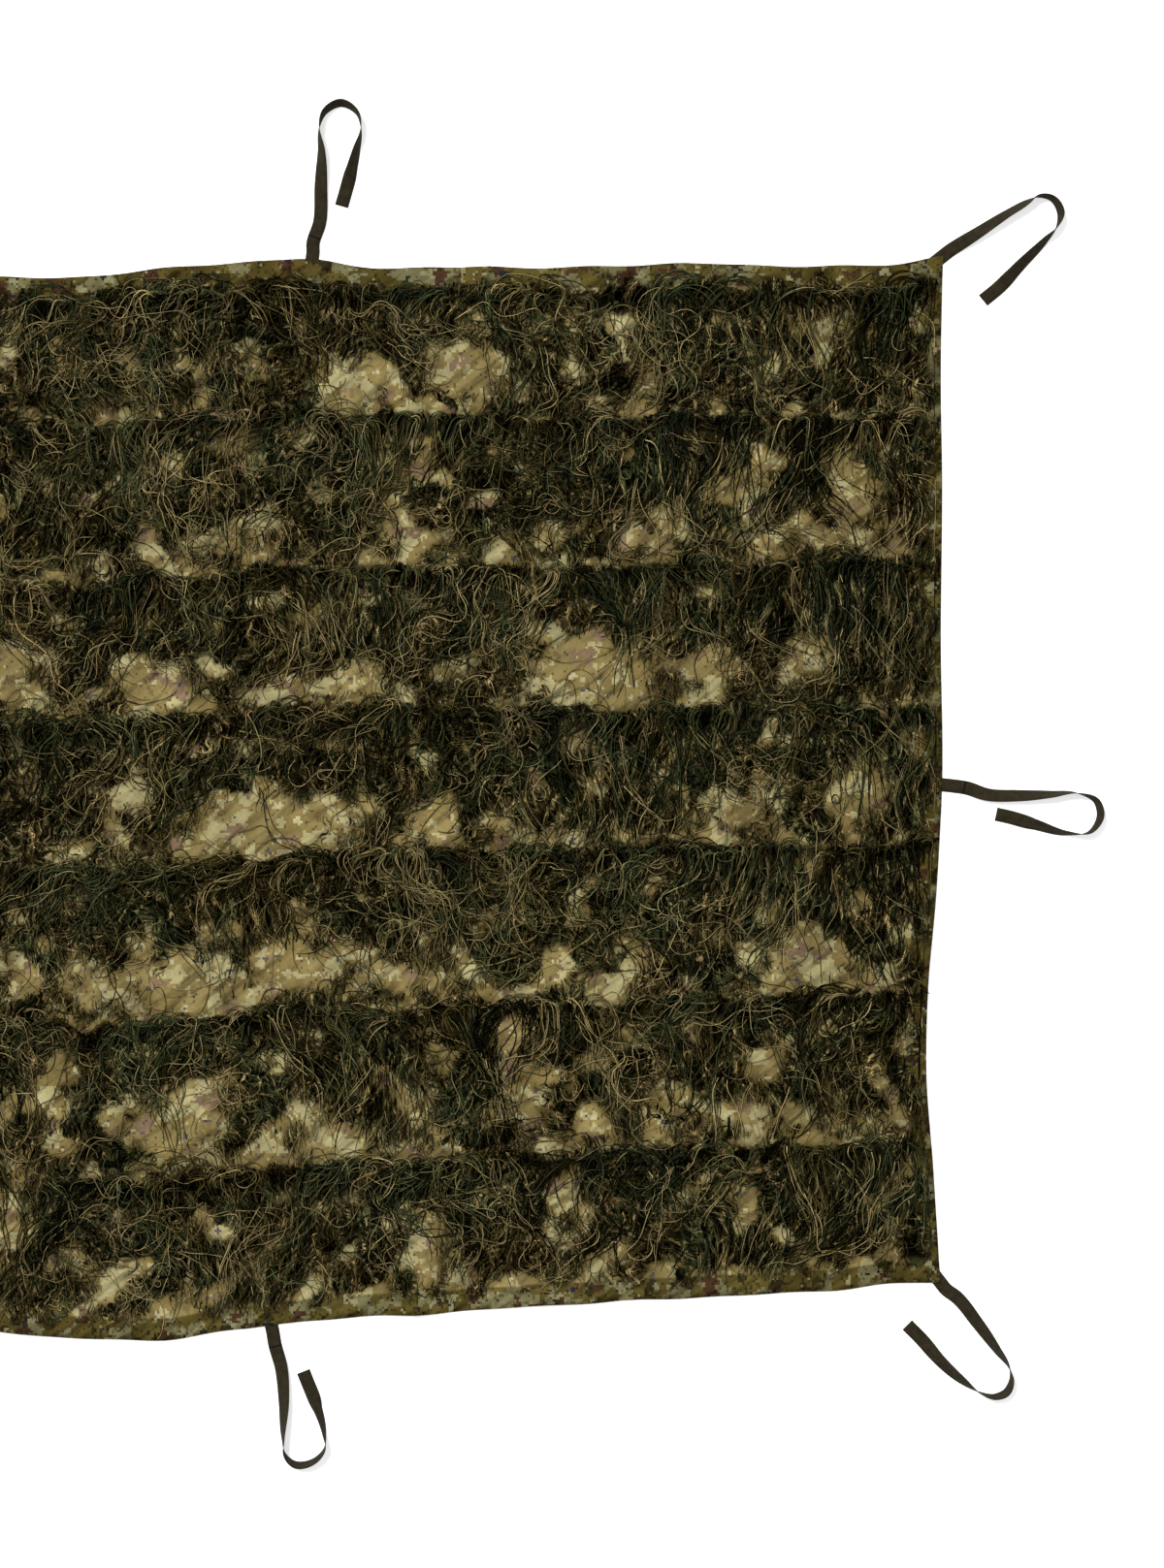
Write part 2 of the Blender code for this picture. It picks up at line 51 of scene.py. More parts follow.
CLOTH_THICK = 0.9 * MM
HEM_THICK = 2.2 * MM
HEM_WIDTH = 33 * MM
HEM_STEP = 3 * MM
CLOTH_COLUMNS = 148
CLOTH_LINES = 120
SEAM_FROM_EDGE = 29 * MM
PRINT_PIXEL = 3.5 * MM
PRINT_GROUND = (
    # on the single cloth and on the hem, where two layers lie on each other
    ((0.180, 0.134, 0.046), (0.245, 0.190, 0.074)),
    ((0.064, 0.047, 0.010), (0.098, 0.076, 0.018)),
)
PRINT_LAYERS = (
    # shift of the pattern, its scale, the level above which it shows, its colour on the single
    # cloth and its colour on the hem
    (5.3, 36, 0.585, (0.165, 0.122, 0.046), (0.028, 0.022, 0.007)),
    (1.9, 20, 0.540, (0.335, 0.294, 0.142), (0.150, 0.136, 0.062)),
    (9.1, 44, 0.610, (0.370, 0.328, 0.168), (0.225, 0.210, 0.108)),
    (3.1, 23, 0.615, (0.190, 0.128, 0.074), (0.056, 0.027, 0.013)),
    (7.7, 58, 0.655, (0.080, 0.072, 0.074), (0.016, 0.016, 0.024)),
)
SPECK_SHARE = (0.025, 0.10)  # of the print's pixels are dark specks, on the single cloth and the hem

TOP_EDGE = (
    # x, y
    (-954, 785),
    (-880, 774),
    (-700, 768),
    (-480, 757),
    (-335, 753),
    (-182, 767),
    (-40, 778),
    (30, 780),
    (90, 771),
    (227, 768),
    (278, 770),
    (329, 768),
    (585, 774),
    (790, 770),
    (892, 774),
    (954, 785),
)
BOTTOM_EDGE = (
    # x, y
    (-950, -728),
    (-800, -744),
    (-560, -772),
    (-335, -798),
    (-182, -801),
    (-80, -787),
    (23, -774),
    (176, -765),
    (381, -751),
    (585, -740),
    (790, -729),
    (892, -719),
    (950, -717),
)
RIGHT_EDGE = (
    # y, x
    (785, 954),
    (620, 951),
    (440, 953),
    (230, 951),
    (20, 953),
    (-140, 945),
    (-280, 933),
    (-410, 930),
    (-550, 940),
    (-717, 950),
)
LEFT_EDGE = (
    # y, x
    (785, -954),
    (560, -949),
    (300, -952),
    (40, -955),
    (-230, -946),
    (-470, -938),
    (-728, -950),
)
CLOTH_WIDTH = 1.908
CLOTH_HEIGHT = 1.513
TOP_CORNERS_Y = 785  # in millimetres, as the tables
LEFT_SPAN, RIGHT_SPAN, BOTTOM_SPAN = 1513, 1502, 1900

# The main folds, which the solids have too, and the smaller creases of the bare cloth.
FOLDS = (
    # x, y, heading in degrees, half length, half width, height
    (327, -395, 92, 85, 48, 6),
    (20, -88, 30, 80, 34, 5),
    (-178, 168, 40, 70, 45, 5),
    (425, 172, 28, 85, 45, 5),
    (696, 420, 96, 70, 45, 6),
    (812, 405, 72, 60, 42, 4),
    (-170, -285, 18, 110, 40, 5),
    (215, 450, 65, 70, 42, 5),
    (700, -250, 12, 80, 40, 4),
    (185, -765, 80, 60, 45, 4),
    (370, -752, 100, 55, 42, 4),
    (292, 770, 88, 60, 40, 4),
)
CREASES = (
    # x, y, heading in degrees, half length, half width, height
    (395, 170, 38, 45, 12, 3.0),
    (440, 180, 35, 55, 12, 3.5),
    (492, 190, 33, 50, 12, 3.0),
    (538, 182, 40, 35, 11, 2.5),
    (-215, 150, 35, 45, 11, 3.5),
    (-186, 158, 33, 50, 11, 3.5),
    (-152, 145, 38, 35, 11, 3.0),
    (-120, -62, 25, 50, 12, 3.0),
    (-62, -52, 40, 45, 12, 4.0),
    (-22, -42, 48, 45, 11, 4.0),
    (22, -36, 55, 40, 11, 3.5),
    (62, -30, 60, 35, 11, 3.0),
    (-230, -285, 30, 50, 13, 3.0),
    (-168, -282, 42, 45, 12, 4.0),
    (-112, -262, 44, 45, 12, 4.0),
    (-50, -262, 35, 50, 13, 3.0),
    (20, -255, 20, 60, 13, 3.0),
    (95, -270, 12, 60, 12, 2.5),
    (-190, -470, 60, 45, 13, 4.0),
    (-150, -505, 25, 45, 13, 3.0),
    (-120, -480, 50, 35, 12, 3.0),
    (720, -240, 15, 60, 13, 4.0),
    (770, -262, 170, 50, 12, 3.0),
    (340, -345, 85, 50, 11, 4.0),
    (328, -455, 95, 50, 11, 4.0),
    (198, -660, 88, 60, 12, 4.0),
    (668, 455, 100, 60, 13, 4.0),
    (700, 420, 60, 50, 12, 3.0),
    (815, 440, 75, 60, 13, 4.0),
    (846, 400, 110, 45, 12, 3.0),
    (85, 600, 60, 35, 12, 3.0),
    (112, 590, 100, 30, 11, 2.5),
    (240, 610, 80, 45, 12, 3.0),
    (276, 625, 95, 40, 12, 3.0),
    (835, 10, 100, 45, 12, 3.0),
    (640, -35, 20, 45, 12, 3.0),
    (160, 405, 50, 30, 11, 3.0),
    (292, 768, 80, 28, 10, 3.0),
    (483, 768, 95, 22, 10, 2.0),
    (5, 752, 60, 30, 11, 3.0),
    (58, 752, 120, 30, 11, 3.0),
    (915, 745, 45, 45, 12, 4.0),
    (925, 700, 75, 40, 11, 3.0),
    (870, 762, 12, 40, 11, 3.0),
    (915, -680, -45, 45, 12, 4.0),
    (925, -640, -75, 35, 11, 3.0),
    (875, -700, -12, 40, 11, 3.0),
    (925, 25, 25, 28, 11, 3.0),
    (925, -5, -25, 28, 11, 3.0),
    (-52, -756, 65, 28, 11, 3.0),
    (-8, -752, 115, 28, 11, 3.0),
    (185, -768, 80, 25, 10, 3.0),
    (497, -742, 100, 22, 10, 2.0),
    (925, -190, 95, 60, 12, 3.0),
)
UNSEEN_FROM = -345  # the net left of this is the mirror of its right third

# Sewing lines of the yarn rows: the share of the way down the cloth, at its left, middle and right.
ROW_LINES = (
    # left, middle, right
    (0.0272, 0.0267, 0.0277),
    (0.1500, 0.1440, 0.1560),
    (0.2920, 0.2930, 0.2930),
    (0.4300, 0.4240, 0.4370),
    (0.5660, 0.5620, 0.5710),
    (0.7150, 0.7080, 0.7190),
    (0.8600, 0.8540, 0.8640),
)

# Where the cloth shows between the yarn. Clear is 1 where few strands cross, less where many do.
BARE_PATCHES = (
    # x, y, half width, half height, clear
    (89, 598, 54, 36, 1.0),
    (256, 618, 62, 50, 0.9),
    (268, 691, 18, 25, 0.6),
    (409, 690, 13, 40, 0.8),
    (488, 682, 16, 18, 0.6),
    (800, 685, 34, 38, 0.4),
    (702, 632, 30, 18, 0.4),
    (-240, 555, 34, 14, 0.6),
    (-133, 559, 42, 16, 0.6),
    (-74, 522, 18, 14, 0.7),
    (190, 481, 22, 33, 0.9),
    (152, 402, 27, 36, 0.6),
    (674, 446, 30, 78, 0.75),
    (822, 438, 42, 72, 0.8),
    (-206, 356, 21, 37, 0.8),
    (-55, 358, 26, 35, 0.8),
    (167, 358, 53, 15, 0.9),
    (307, 352, 23, 23, 0.8),
    (526, 376, 48, 24, 1.0),
    (703, 375, 60, 20, 1.0),
    (831, 376, 58, 18, 1.0),
    (-190, 152, 68, 38, 1.0),
    (-28, 142, 41, 20, 0.9),
    (82, 160, 30, 26, 0.9),
    (438, 186, 96, 50, 1.0),
    (621, 172, 25, 31, 0.8),
    (730, 163, 16, 18, 0.8),
    (768, 206, 25, 40, 0.5),
    (703, 95, 20, 28, 0.8),
    (403, 95, 12, 18, 0.6),
    (-229, 13, 14, 44, 0.8),
    (-31, -50, 129, 45, 1.0),
    (198, -36, 40, 29, 0.9),
    (304, -43, 25, 20, 0.8),
    (648, -32, 70, 28, 0.9),
    (836, 8, 41, 50, 0.9),
    (760, -101, 23, 18, 0.8),
    (-291, -290, 50, 28, 1.0),
    (-149, -279, 98, 47, 1.0),
    (12, -252, 82, 43, 1.0),
    (160, -274, 89, 22, 1.0),
    (397, -258, 36, 29, 0.8),
    (485, -273, 25, 32, 0.8),
    (748, -246, 80, 40, 1.0),
    (-198, -371, 16, 16, 0.8),
    (-168, -488, 76, 58, 1.0),
    (61, -500, 55, 31, 0.9),
    (186, -464, 36, 48, 0.5),
    (322, -372, 25, 56, 1.0),
    (350, -448, 26, 62, 0.9),
    (449, -484, 29, 20, 0.8),
    (532, -466, 23, 36, 0.8),
    (655, -470, 55, 25, 0.9),
    (802, -482, 90, 18, 0.7),
    (707, -387, 16, 36, 0.5),
    (196, -665, 30, 70, 1.0),
    (404, -600, 18, 60, 1.0),
    (442, -701, 33, 16, 0.8),
    (658, -594, 16, 25, 0.5),
    (-271, -715, 43, 28, 0.6),
    (-119, -736, 23, 21, 0.7),
)

# ---------------------------------------------------------------- the yarn's sizes

ARCHED_PER_ROW = 260
ROOTED_PER_ROW = 325
TANGLED_PER_ROW = 300
PALE_PER_ROW = 286
WISPS_PER_ROW = 140
STRAND_RADIUS = 0.8 * MM
STEP = 5 * MM
STEPS = 66
POINT_COUNTS = (6, 8, 10, 12, 14, 17, 20, 24, 28, 33)
STRAIGHT_SPACING = 32 * MM  # between a strand's points where it runs straight
TURN_SPACING = 0.52  # radians between them where it bends
BUNDLES_PER_ROW = 50
LOOSE_SHARE = 0.35  # of the strands go their own way
TUFT_FREEDOM = 0.22  # how far the others stray from their tuft's way, of 1
LEAN_OUT_SHARE = 0.85  # of the rooted strands lean to their side of the bundle
ARCH_TURNS = (1.7, 2.9)  # radians from straight down at an arched strand's root
SLOW_WAVES, QUICK_WAVES = (90, 210), (35, 80)  # lengths in mm of a strand's swings
LOOP_RADII = (8, 20)  # in mm
CURL_RATES = (15, 55)  # radians a metre, along a curled end
FIRST_ROW_RISE = 1.9  # times higher than the others, its arches stand up over the hem
ARCH_HEIGHT = 11 * MM
ARCH_HALF_WIDTH = 18 * MM
LAST_ROW_ENDS = 36 * MM  # above the cloth's lower edge
COVER_UNIT = 30 * MM  # in which the depth inside the matted yarn is counted
ROW_INSET = 26 * MM  # the outermost roots from the side edges
SIDE_CLEARANCE = 10 * MM
SOWN_HALF_WIDTH = 0.93  # from the middle, strands start that aren't rooted on the line
CURL_LENGTH = 45 * MM  # of the curled end of a strand
SHORTEST_STRAND = 15 * MM
BEFORE_STOPPING = 20 * MM  # a strand runs at least this far before a bare patch stops it
STEER = 0.55  # how strongly a bare patch turns strands away
TUBE_SIDES = 3
REACH = 22 * MM  # a bare patch that comes this near to the row below it goes on to it
MAT_CELL = 11 * MM
MAT_THICK = 1.2 * MM
MAT_INSET = 15 * MM  # the matted yarn from the side edges
MAT_ABOVE, MAT_BELOW = 36 * MM, 0.29  # how far the sheet may reach from its sewing line
MAT_LUMPS, MAT_HEAD = 6.0 * MM, 5.0 * MM  # its height over the cloth, in lumps and at the sewn head
MAT_FADES_TO = -0.6  # the cover at which no matted yarn is left

BROWN_YARN = (
    # share, red, green, blue
    (0.28, 0.0035, 0.003, 0.001),
    (0.24, 0.022, 0.018, 0.005),
    (0.23, 0.078, 0.062, 0.019),
    (0.25, 0.290, 0.222, 0.096),
)
BROWN_RAMP = (
    (0.30, (0.010, 0.008, 0.0025)),
    (0.44, (0.030, 0.024, 0.007)),
    (0.53, (0.080, 0.061, 0.020)),
    (0.63, (0.230, 0.165, 0.072)),
)
GREEN_RAMP = (
    (0.30, (0.009, 0.010, 0.0035)),
    (0.44, (0.022, 0.031, 0.013)),
    (0.54, (0.058, 0.064, 0.025)),
    (0.66, (0.190, 0.150, 0.065)),
)
MAT_LAYERS = (
    # turn, shift and level of each drawn layer of strands
    (0.0, 0.0, 0.55),
    (1.1, 3.7, 0.58),
    (-0.8, 8.1, 0.585),
    (0.4, 12.9, 0.575),
    (-0.3, 17.3, 0.585),
    (0.15, 23.9, 0.60),
)
LOCK_LAYERS = ((0.0, 0.0), (0.55, 5.3))  # turn and shift of the painted shade in the gaps between locks
# The mat's ground between the drawn strands: partly the dark yarn below, partly painted shade deep in
# the tangle, near black.
MAT_GROUND = ((0.35, (0.0006, 0.0005, 0.0002)), (0.65, (0.004, 0.0036, 0.0012)))
GREEN_YARN = (
    # share, red, green, blue
    (0.25, 0.0035, 0.004, 0.0013),
    (0.24, 0.019, 0.027, 0.011),
    (0.25, 0.062, 0.074, 0.030),
    (0.11, 0.100, 0.088, 0.030),
    (0.15, 0.245, 0.198, 0.088),
)

# ---------------------------------------------------------------- the ties' sizes

TIE_WIDTH = 20 * MM
TIE_THICK = 1.3 * MM
TIE_STATIONS = 110
TIE_IN_HEM = 24 * MM
TIE_LEADS_OUT = 12 * MM
TAIL_FLAT = 28 * MM
TAIL_EASE = 30 * MM
CREASE_OUT = 33 * MM  # of the stitched crease across a mid-side tie, from the hem

TIE_ROUTES = {
    # x, y, lean in degrees: 0 flat, 90 on its edge
    "tie_top": (
        (32, 800, 0),
        (42, 834, 5),
        (44, 886, 14),
        (45, 938, 55),
        (42, 974, 88),
        (49, 994, 106),
        (74, 1008, 116),
        (98, 993, 104),
        (103, 971, 92),
        (96, 938, 60),
        (82, 886, 22),
        (74, 858, 0),
    ),
    "tie_top_right": (
        (980, 803, 8),
        (1001, 816, 24),
        (1046, 845, 50),
        (1080, 865, 70),
        (1090, 871, 90),
        (1114, 868, 108),
        (1126, 848, 116),
        (1120, 826, 92),
        (1104, 808, 66),
        (1068, 772, 38),
        (1035, 738, 12),
        (1013, 720, 0),
    ),
    "tie_right": (
        (990, 6, 0),
        (1017, -3, 18),
        (1064, -5, 32),
        (1111, -3, 60),
        (1149, -1, 88),
        (1179, -14, 112),
        (1184, -34, 116),
        (1169, -58, 100),
        (1135, -60, 72),
        (1088, -47, 38),
        (1050, -36, 10),
        (1032, -32, 0),
    ),
    "tie_bottom_right": (
        (974, -739, 8),
        (1004, -776, 24),
        (1032, -814, 54),
        (1051, -842, 84),
        (1054, -860, 104),
        (1046, -878, 116),
        (1030, -884, 108),
        (1008, -878, 90),
        (984, -862, 56),
        (950, -832, 28),
        (922, -800, 8),
        (902, -780, 0),
    ),
    "tie_bottom": (
        (-24, -806, 0),
        (-14, -843, 12),
        (-10, -892, 36),
        (-11, -947, 76),
        (-9, -968, 94),
        (6, -983, 112),
        (31, -980, 110),
        (50, -960, 98),
        (49, -936, 78),
        (36, -892, 44),
        (26, -868, 12),
        (18, -848, 0),
    ),
}
TIE_ROOTS = {
    # x, y, heading in degrees, turn of the loop: +1 left, -1 right
    "tie_top": (31, 780, 84, -1),
    "tie_top_right": (954, 785, 38, -1),
    "tie_right": (953, 11, -6, -1),
    "tie_bottom_right": (950, -717, -52, -1),
    "tie_bottom": (-29, -779, -78, 1),
}
MIRRORED_TIES = {
    # the ties of the unseen side, and the tie that each is the mirror of
    "tie_top_left": "tie_top_right",
    "tie_left": "tie_right",
    "tie_bottom_left": "tie_bottom_right",
}
CREASED_TIES = ("tie_top", "tie_right", "tie_bottom", "tie_left")  # those at mid-side
CREASE_HALF_WIDTH = 1.2 * MM

# ---------------------------------------------------------------- the stitches' sizes

THREAD_RADIUS = 0.35 * MM
SEAM_STITCH, SEAM_PITCH = 3.4 * MM, 4.4 * MM
SEAM_POINTS = 400  # along each side, to follow its edge
BOX_STITCH, BOX_PITCH = 2.4 * MM, 3.2 * MM
TIE_BOX = (
    # the boxed cross that holds a tie in the hem: along the tie from its root, across it
    (-4, -8),
    (-4, 8),
    (-19, 8),
    (-19, -8),
    (-4, -8),
    (-19, 8),
)

# ---------------------------------------------------------------- the materials' sizes

FLAT = (1.0, 1.0, 0.0)  # times a place, this leaves its height out
CLOTH_WEAVE_SCALE = 260.0
PLY_PITCH = 3.2 * MM
RIB_PITCH = 1.5 * MM
TWILL_PITCH = 1.1 * MM
CHEVRON_WIDTH = 3.3 * MM
WORN_EDGE_FROM = 8.9 * MM  # from the webbing's middle
STRAND_WANDER = 0.105  # how far aside a drawn strand wavers where the yarn is most unruly
RIM_FADE = (0.34, 0.44)  # between these the matted yarn's rim goes from nothing to all

# ---------------------------------------------------------------- small tools


def smooth_through(points, at):
    """Values at these places of a smooth curve through (place, value) points."""
    knots = np.array(sorted(points), float)
    x, y = knots[:, 0], knots[:, 1]
    slope = np.gradient(y, x)
    at = np.clip(np.asarray(at, float), x[0], x[-1])
    i = np.clip(np.searchsorted(x, at) - 1, 0, len(x) - 2)
    span = x[i + 1] - x[i]
    t = (at - x[i]) / span
    rise, fall = t * t * (3 - 2 * t), t * (1 - t) ** 2
    leave = t * t * (t - 1)
    return y[i] * (1 - rise) + y[i + 1] * rise + span * (slope[i] * fall + slope[i + 1] * leave)


def ease(low, high, value):
    """0 below low, 1 above high, smooth between."""
    t = np.clip((value - low) / (high - low), 0, 1)
    return t * t * (3 - 2 * t)


def unit_vector(heading):
    turn = math.radians(heading)
    return np.array((math.cos(turn), math.sin(turn)))


def cells(grid):
    """The four corners of each cell of a grid, in turn round the cell."""
    return np.stack([grid[:-1, :-1], grid[1:, :-1], grid[1:, 1:], grid[:-1, 1:]], axis=-1)


def run_along(points):
    """The way gone at each of a line's points."""
    return np.concatenate([[0], np.cumsum(np.linalg.norm(np.diff(points, axis=0), axis=1))])


def placed(name, data):
    """A new object of this data in the scene."""
    holder = bpy.data.objects.new(name, data)
    bpy.context.scene.collection.objects.link(holder)
    return holder


def with_unseen_side(table):
    """A table of rows that start with x, and the mirror of those in the net's right third."""
    return list(table) + [(-row[0], *row[1:]) for row in table if row[0] > -UNSEEN_FROM]


def with_unseen_folds(table):
    """The same for folds, whose headings turn over too."""
    mirrored = [(-x, y, 180 - turn, *rest) for x, y, turn, *rest in table if x > -UNSEEN_FROM]
    return list(table) + mirrored


def new_piece(name, verts, faces, finish, values=None):
    """A smooth-shaded mesh riding on the net, with a value or colour for each point by name."""
    mesh = bpy.data.meshes.new(name)
    mesh.from_pydata(verts, [], faces)
    mesh.polygons.foreach_set("use_smooth", np.ones(len(faces), bool))
    for key, data in (values or {}).items():
        kind = "FLOAT_COLOR" if data.ndim == 2 else "FLOAT"
        layer = mesh.attributes.new(key, kind, "POINT")
        if data.ndim == 2:
            layer.data.foreach_set("color", np.column_stack([data, np.ones(len(data))]).ravel())
        else:
            layer.data.foreach_set("value", data.ravel())
    mesh.materials.append(finish)
    mesh.validate()
    piece = placed(name, mesh)
    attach(piece, "root")
    return piece


# ---------------------------------------------------------------- the cloth's surface


def cloth_point(u, v):
    """x and y of the cloth at shares u across and v down."""
    top = smooth_through(TOP_EDGE, (u - 0.5) * CLOTH_WIDTH / MM) * MM
    bottom = smooth_through(BOTTOM_EDGE, (u - 0.5) * BOTTOM_SPAN) * MM
    left = smooth_through(LEFT_EDGE, TOP_CORNERS_Y - v * LEFT_SPAN) * MM
    right = smooth_through(RIGHT_EDGE, TOP_CORNERS_Y - v * RIGHT_SPAN) * MM
    waver = 0.8 * MM * (np.sin(u * 97) + np.sin(u * 61 + 2))
    return (1 - u) * left + u * right, (1 - v) * top + v * bottom + waver * (1 - 2 * v)


def row_y(row, x):
    """y of a row's sewing line at x."""
    u = x / CLOTH_WIDTH + 0.5
    left, middle, right = ROW_LINES[row]
    share = smooth_through(((0, left), (0.5, middle), (1, right)), u)
    return cloth_point(u, share)[1]


def side_x(y, table):
    return smooth_through(table, y / MM) * MM


def ridges(x, y, table):
    """Summed heights of a table's folds."""
    total = np.zeros_like(x)
    for fx, fy, heading, half_length, half_width, height in with_unseen_folds(table):
        turn = math.radians(heading)
        dx, dy = x - fx * MM, y - fy * MM
        along = (dx * math.cos(turn) + dy * math.sin(turn)) / (half_length * MM)
        across = (dy * math.cos(turn) - dx * math.sin(turn)) / (half_width * MM)
        total += height * MM * np.exp(-2 * across**2 - along**4)
    return total


class LiftMap:
    """The cloth's height off the floor, worked out once on a grid and read between its points."""

    CELL = 4 * MM
    HALF_WIDTH, HALF_HEIGHT = 1.0, 0.86

    def __init__(self):
        self.xs = np.arange(-self.HALF_WIDTH, self.HALF_WIDTH, self.CELL)
        self.ys = np.arange(-self.HALF_HEIGHT, self.HALF_HEIGHT, self.CELL)
        x, y = np.meshgrid(self.xs, self.ys)
        near_row = np.min([np.abs(y - row_y(row, x)) for row in range(len(ROW_LINES))], axis=0)
        held = 0.25 + 0.75 * ease(8 * MM, 26 * MM, near_row)
        ripple = np.sin(x * 37 + 9 * y) * np.sin(y * 41 - 6 * x)
        self.lift = held * (ridges(x, y, FOLDS) + ridges(x, y, CREASES) + 0.5 * MM * (1 + ripple))

    def __call__(self, x, y):
        i = np.clip((x - self.xs[0]) / self.CELL, 0, len(self.xs) - 1.001)
        j = np.clip((y - self.ys[0]) / self.CELL, 0, len(self.ys) - 1.001)
        i0, j0 = i.astype(int), j.astype(int)
        a, b = i - i0, j - j0
        low = self.lift[j0, i0] * (1 - a) + self.lift[j0, i0 + 1] * a
        high = self.lift[j0 + 1, i0] * (1 - a) + self.lift[j0 + 1, i0 + 1] * a
        return low * (1 - b) + high * b


def spaced_with_hem(count, width):
    """Shares of the way across, with a line at each side of the step to the hem."""
    hem, step = HEM_WIDTH / width, HEM_STEP / width
    inner = np.linspace(hem, 1 - hem, count - 7)
    left = [0, hem * 0.35, hem * 0.7, hem - step]
    return np.array([*left, *inner, *(1 - np.array(left[::-1]))])


def make_cloth(lift, yarns, finish):
    u, v = np.meshgrid(
        spaced_with_hem(CLOTH_COLUMNS, CLOTH_WIDTH), spaced_with_hem(CLOTH_LINES, CLOTH_HEIGHT)
    )
    x, y = cloth_point(u, v)
    lines, columns = u.shape
    verts = np.column_stack([x.ravel(), y.ravel(), lift(x, y).ravel()])
    index = np.arange(lines * columns).reshape(lines, columns)
    hem_u, hem_v = (HEM_WIDTH - HEM_STEP / 2) / CLOTH_WIDTH, (HEM_WIDTH - HEM_STEP / 2) / CLOTH_HEIGHT
    on_hem = (np.minimum(u, 1 - u) < hem_u) | (np.minimum(v, 1 - v) < hem_v)
    # Painted shade on the cloth: darker where the yarn lies over it, and more so towards the side
    # edges.
    painted_shade_under_yarn = np.max([ease(-0.85, 0.25, yarn.cover(x, y)) for yarn in yarns], axis=0)
    shaded = np.clip(painted_shade_under_yarn + 0.25 * yarns[0].calm(x), 0, 1)
    values = {"hem": on_hem.astype(float).ravel(), "shaded": shaded.ravel()}
    cloth = new_piece("cover_sheet", verts, cells(index).reshape(-1, 4), finish, values)
    group = cloth.vertex_groups.new(name="layers")
    group.add(index.ravel().tolist(), CLOTH_THICK / HEM_THICK, "REPLACE")
    group.add(index[on_hem].tolist(), 1.0, "REPLACE")
    thicken = cloth.modifiers.new("thicken", "SOLIDIFY")
    thicken.thickness = HEM_THICK
    thicken.offset = 1.0
    thicken.vertex_group = "layers"
    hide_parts("cover_cloth")
    return cloth


# ---------------------------------------------------------------- strands


def tubes(paths, radii):
    """Points and faces of closed three-sided tubes along paths of shape (count, points, 3)."""
    count, points, _ = paths.shape
    ahead = np.gradient(paths, axis=1)
    ahead /= np.linalg.norm(ahead, axis=2, keepdims=True) + 1e-9
    side = np.cross(ahead, (0.001, 0.001, 1.0))
    side /= np.linalg.norm(side, axis=2, keepdims=True) + 1e-9
    over = np.cross(side, ahead)
    rings = []
    for corner in range(TUBE_SIDES):
        angle = math.pi / 2 + corner * 2 * math.pi / TUBE_SIDES
        offset = side * math.cos(angle) + over * math.sin(angle)
        rings.append(paths + offset * radii[:, :, None])
    verts = np.stack(rings, axis=2).reshape(-1, 3)
    index = np.arange(count * points * TUBE_SIDES).reshape(count, points, TUBE_SIDES)
    here, after = index[:, :-1], index[:, 1:]
    walls = np.stack([here, after, np.roll(after, -1, 2), np.roll(here, -1, 2)], axis=-1).reshape(-1, 4)
    ends = np.concatenate([index[:, 0], index[:, -1, ::-1]])
    return verts, walls.tolist() + ends.tolist()


def drop_end(row, x):
    """y that the yarn of a row hangs down to."""
    if row + 1 < len(ROW_LINES):
        return row_y(row + 1, x)
    bottom = cloth_point(x / CLOTH_WIDTH + 0.5, np.ones_like(x))[1]
    return bottom + LAST_ROW_ENDS


def patches_near(row):
    """The bare patches from a row's line to a little past the next, and which reach that next one."""
    kept = []
    for x, y, half_width, half_height, clear in with_unseen_side(BARE_PATCHES):
        line = float(row_y(row, np.array(x * MM)))
        end = float(drop_end(row, np.array(x * MM)))
        if end - 10 * MM < y * MM < line + 5 * MM:
            reaches = row + 1 < len(ROW_LINES) and y * MM - half_height * MM - end < REACH
            kept.append((x * MM, y * MM, half_width * MM, half_height * MM, clear, reaches))
    return kept


def from_middle(x, y, patch):
    """Where a place lies in a patch, in its half sizes. One that reaches a row is open downwards."""
    px, py, half_width, half_height, _, reaches = patch
    dx, dy = (x - px) / half_width, (y - py) / half_height
    return dx, np.maximum(dy, -0.35) if reaches else dy


def bareness(x, y, patches):
    """How deep in a bare patch a place is, 1 at its middle and 0 at its rim, the way out, its clear."""
    depth = np.full(x.shape, -3.0)
    out = np.zeros((2, *x.shape))
    clear = np.ones(x.shape)
    for patch in patches:
        half_width, half_height, how_clear = patch[2:5]
        dx, dy = from_middle(x, y, patch)
        here = 1 - np.sqrt(dx * dx + dy * dy)
        better = here > depth
        depth = np.where(better, here, depth)
        away = np.stack([dx / half_width, dy / half_height])
        away /= np.linalg.norm(away, axis=0) + 1e-9
        out = np.where(better, away, out)
        clear = np.where(better, how_clear, clear)
    return depth, out, clear


class Waves:
    """A smooth field over the cloth, as a sum of waves, about -1 to 1."""

    def __init__(self, rng, shortest, longest, count=7, stretch=1.0):
        heading = rng.uniform(0, math.pi, count)
        number = 2 * math.pi / rng.uniform(shortest, longest, count)
        self.kx, self.ky = number * np.cos(heading), number * np.sin(heading) / stretch
        self.phase = rng.uniform(0, 2 * math.pi, count)

    def __call__(self, x, y):
        total = np.zeros_like(x)
        for kx, ky, phase in zip(self.kx, self.ky, self.phase):
            total += np.sin(kx * x + ky * y + phase)
        return total / math.sqrt(len(self.kx)) * 1.2


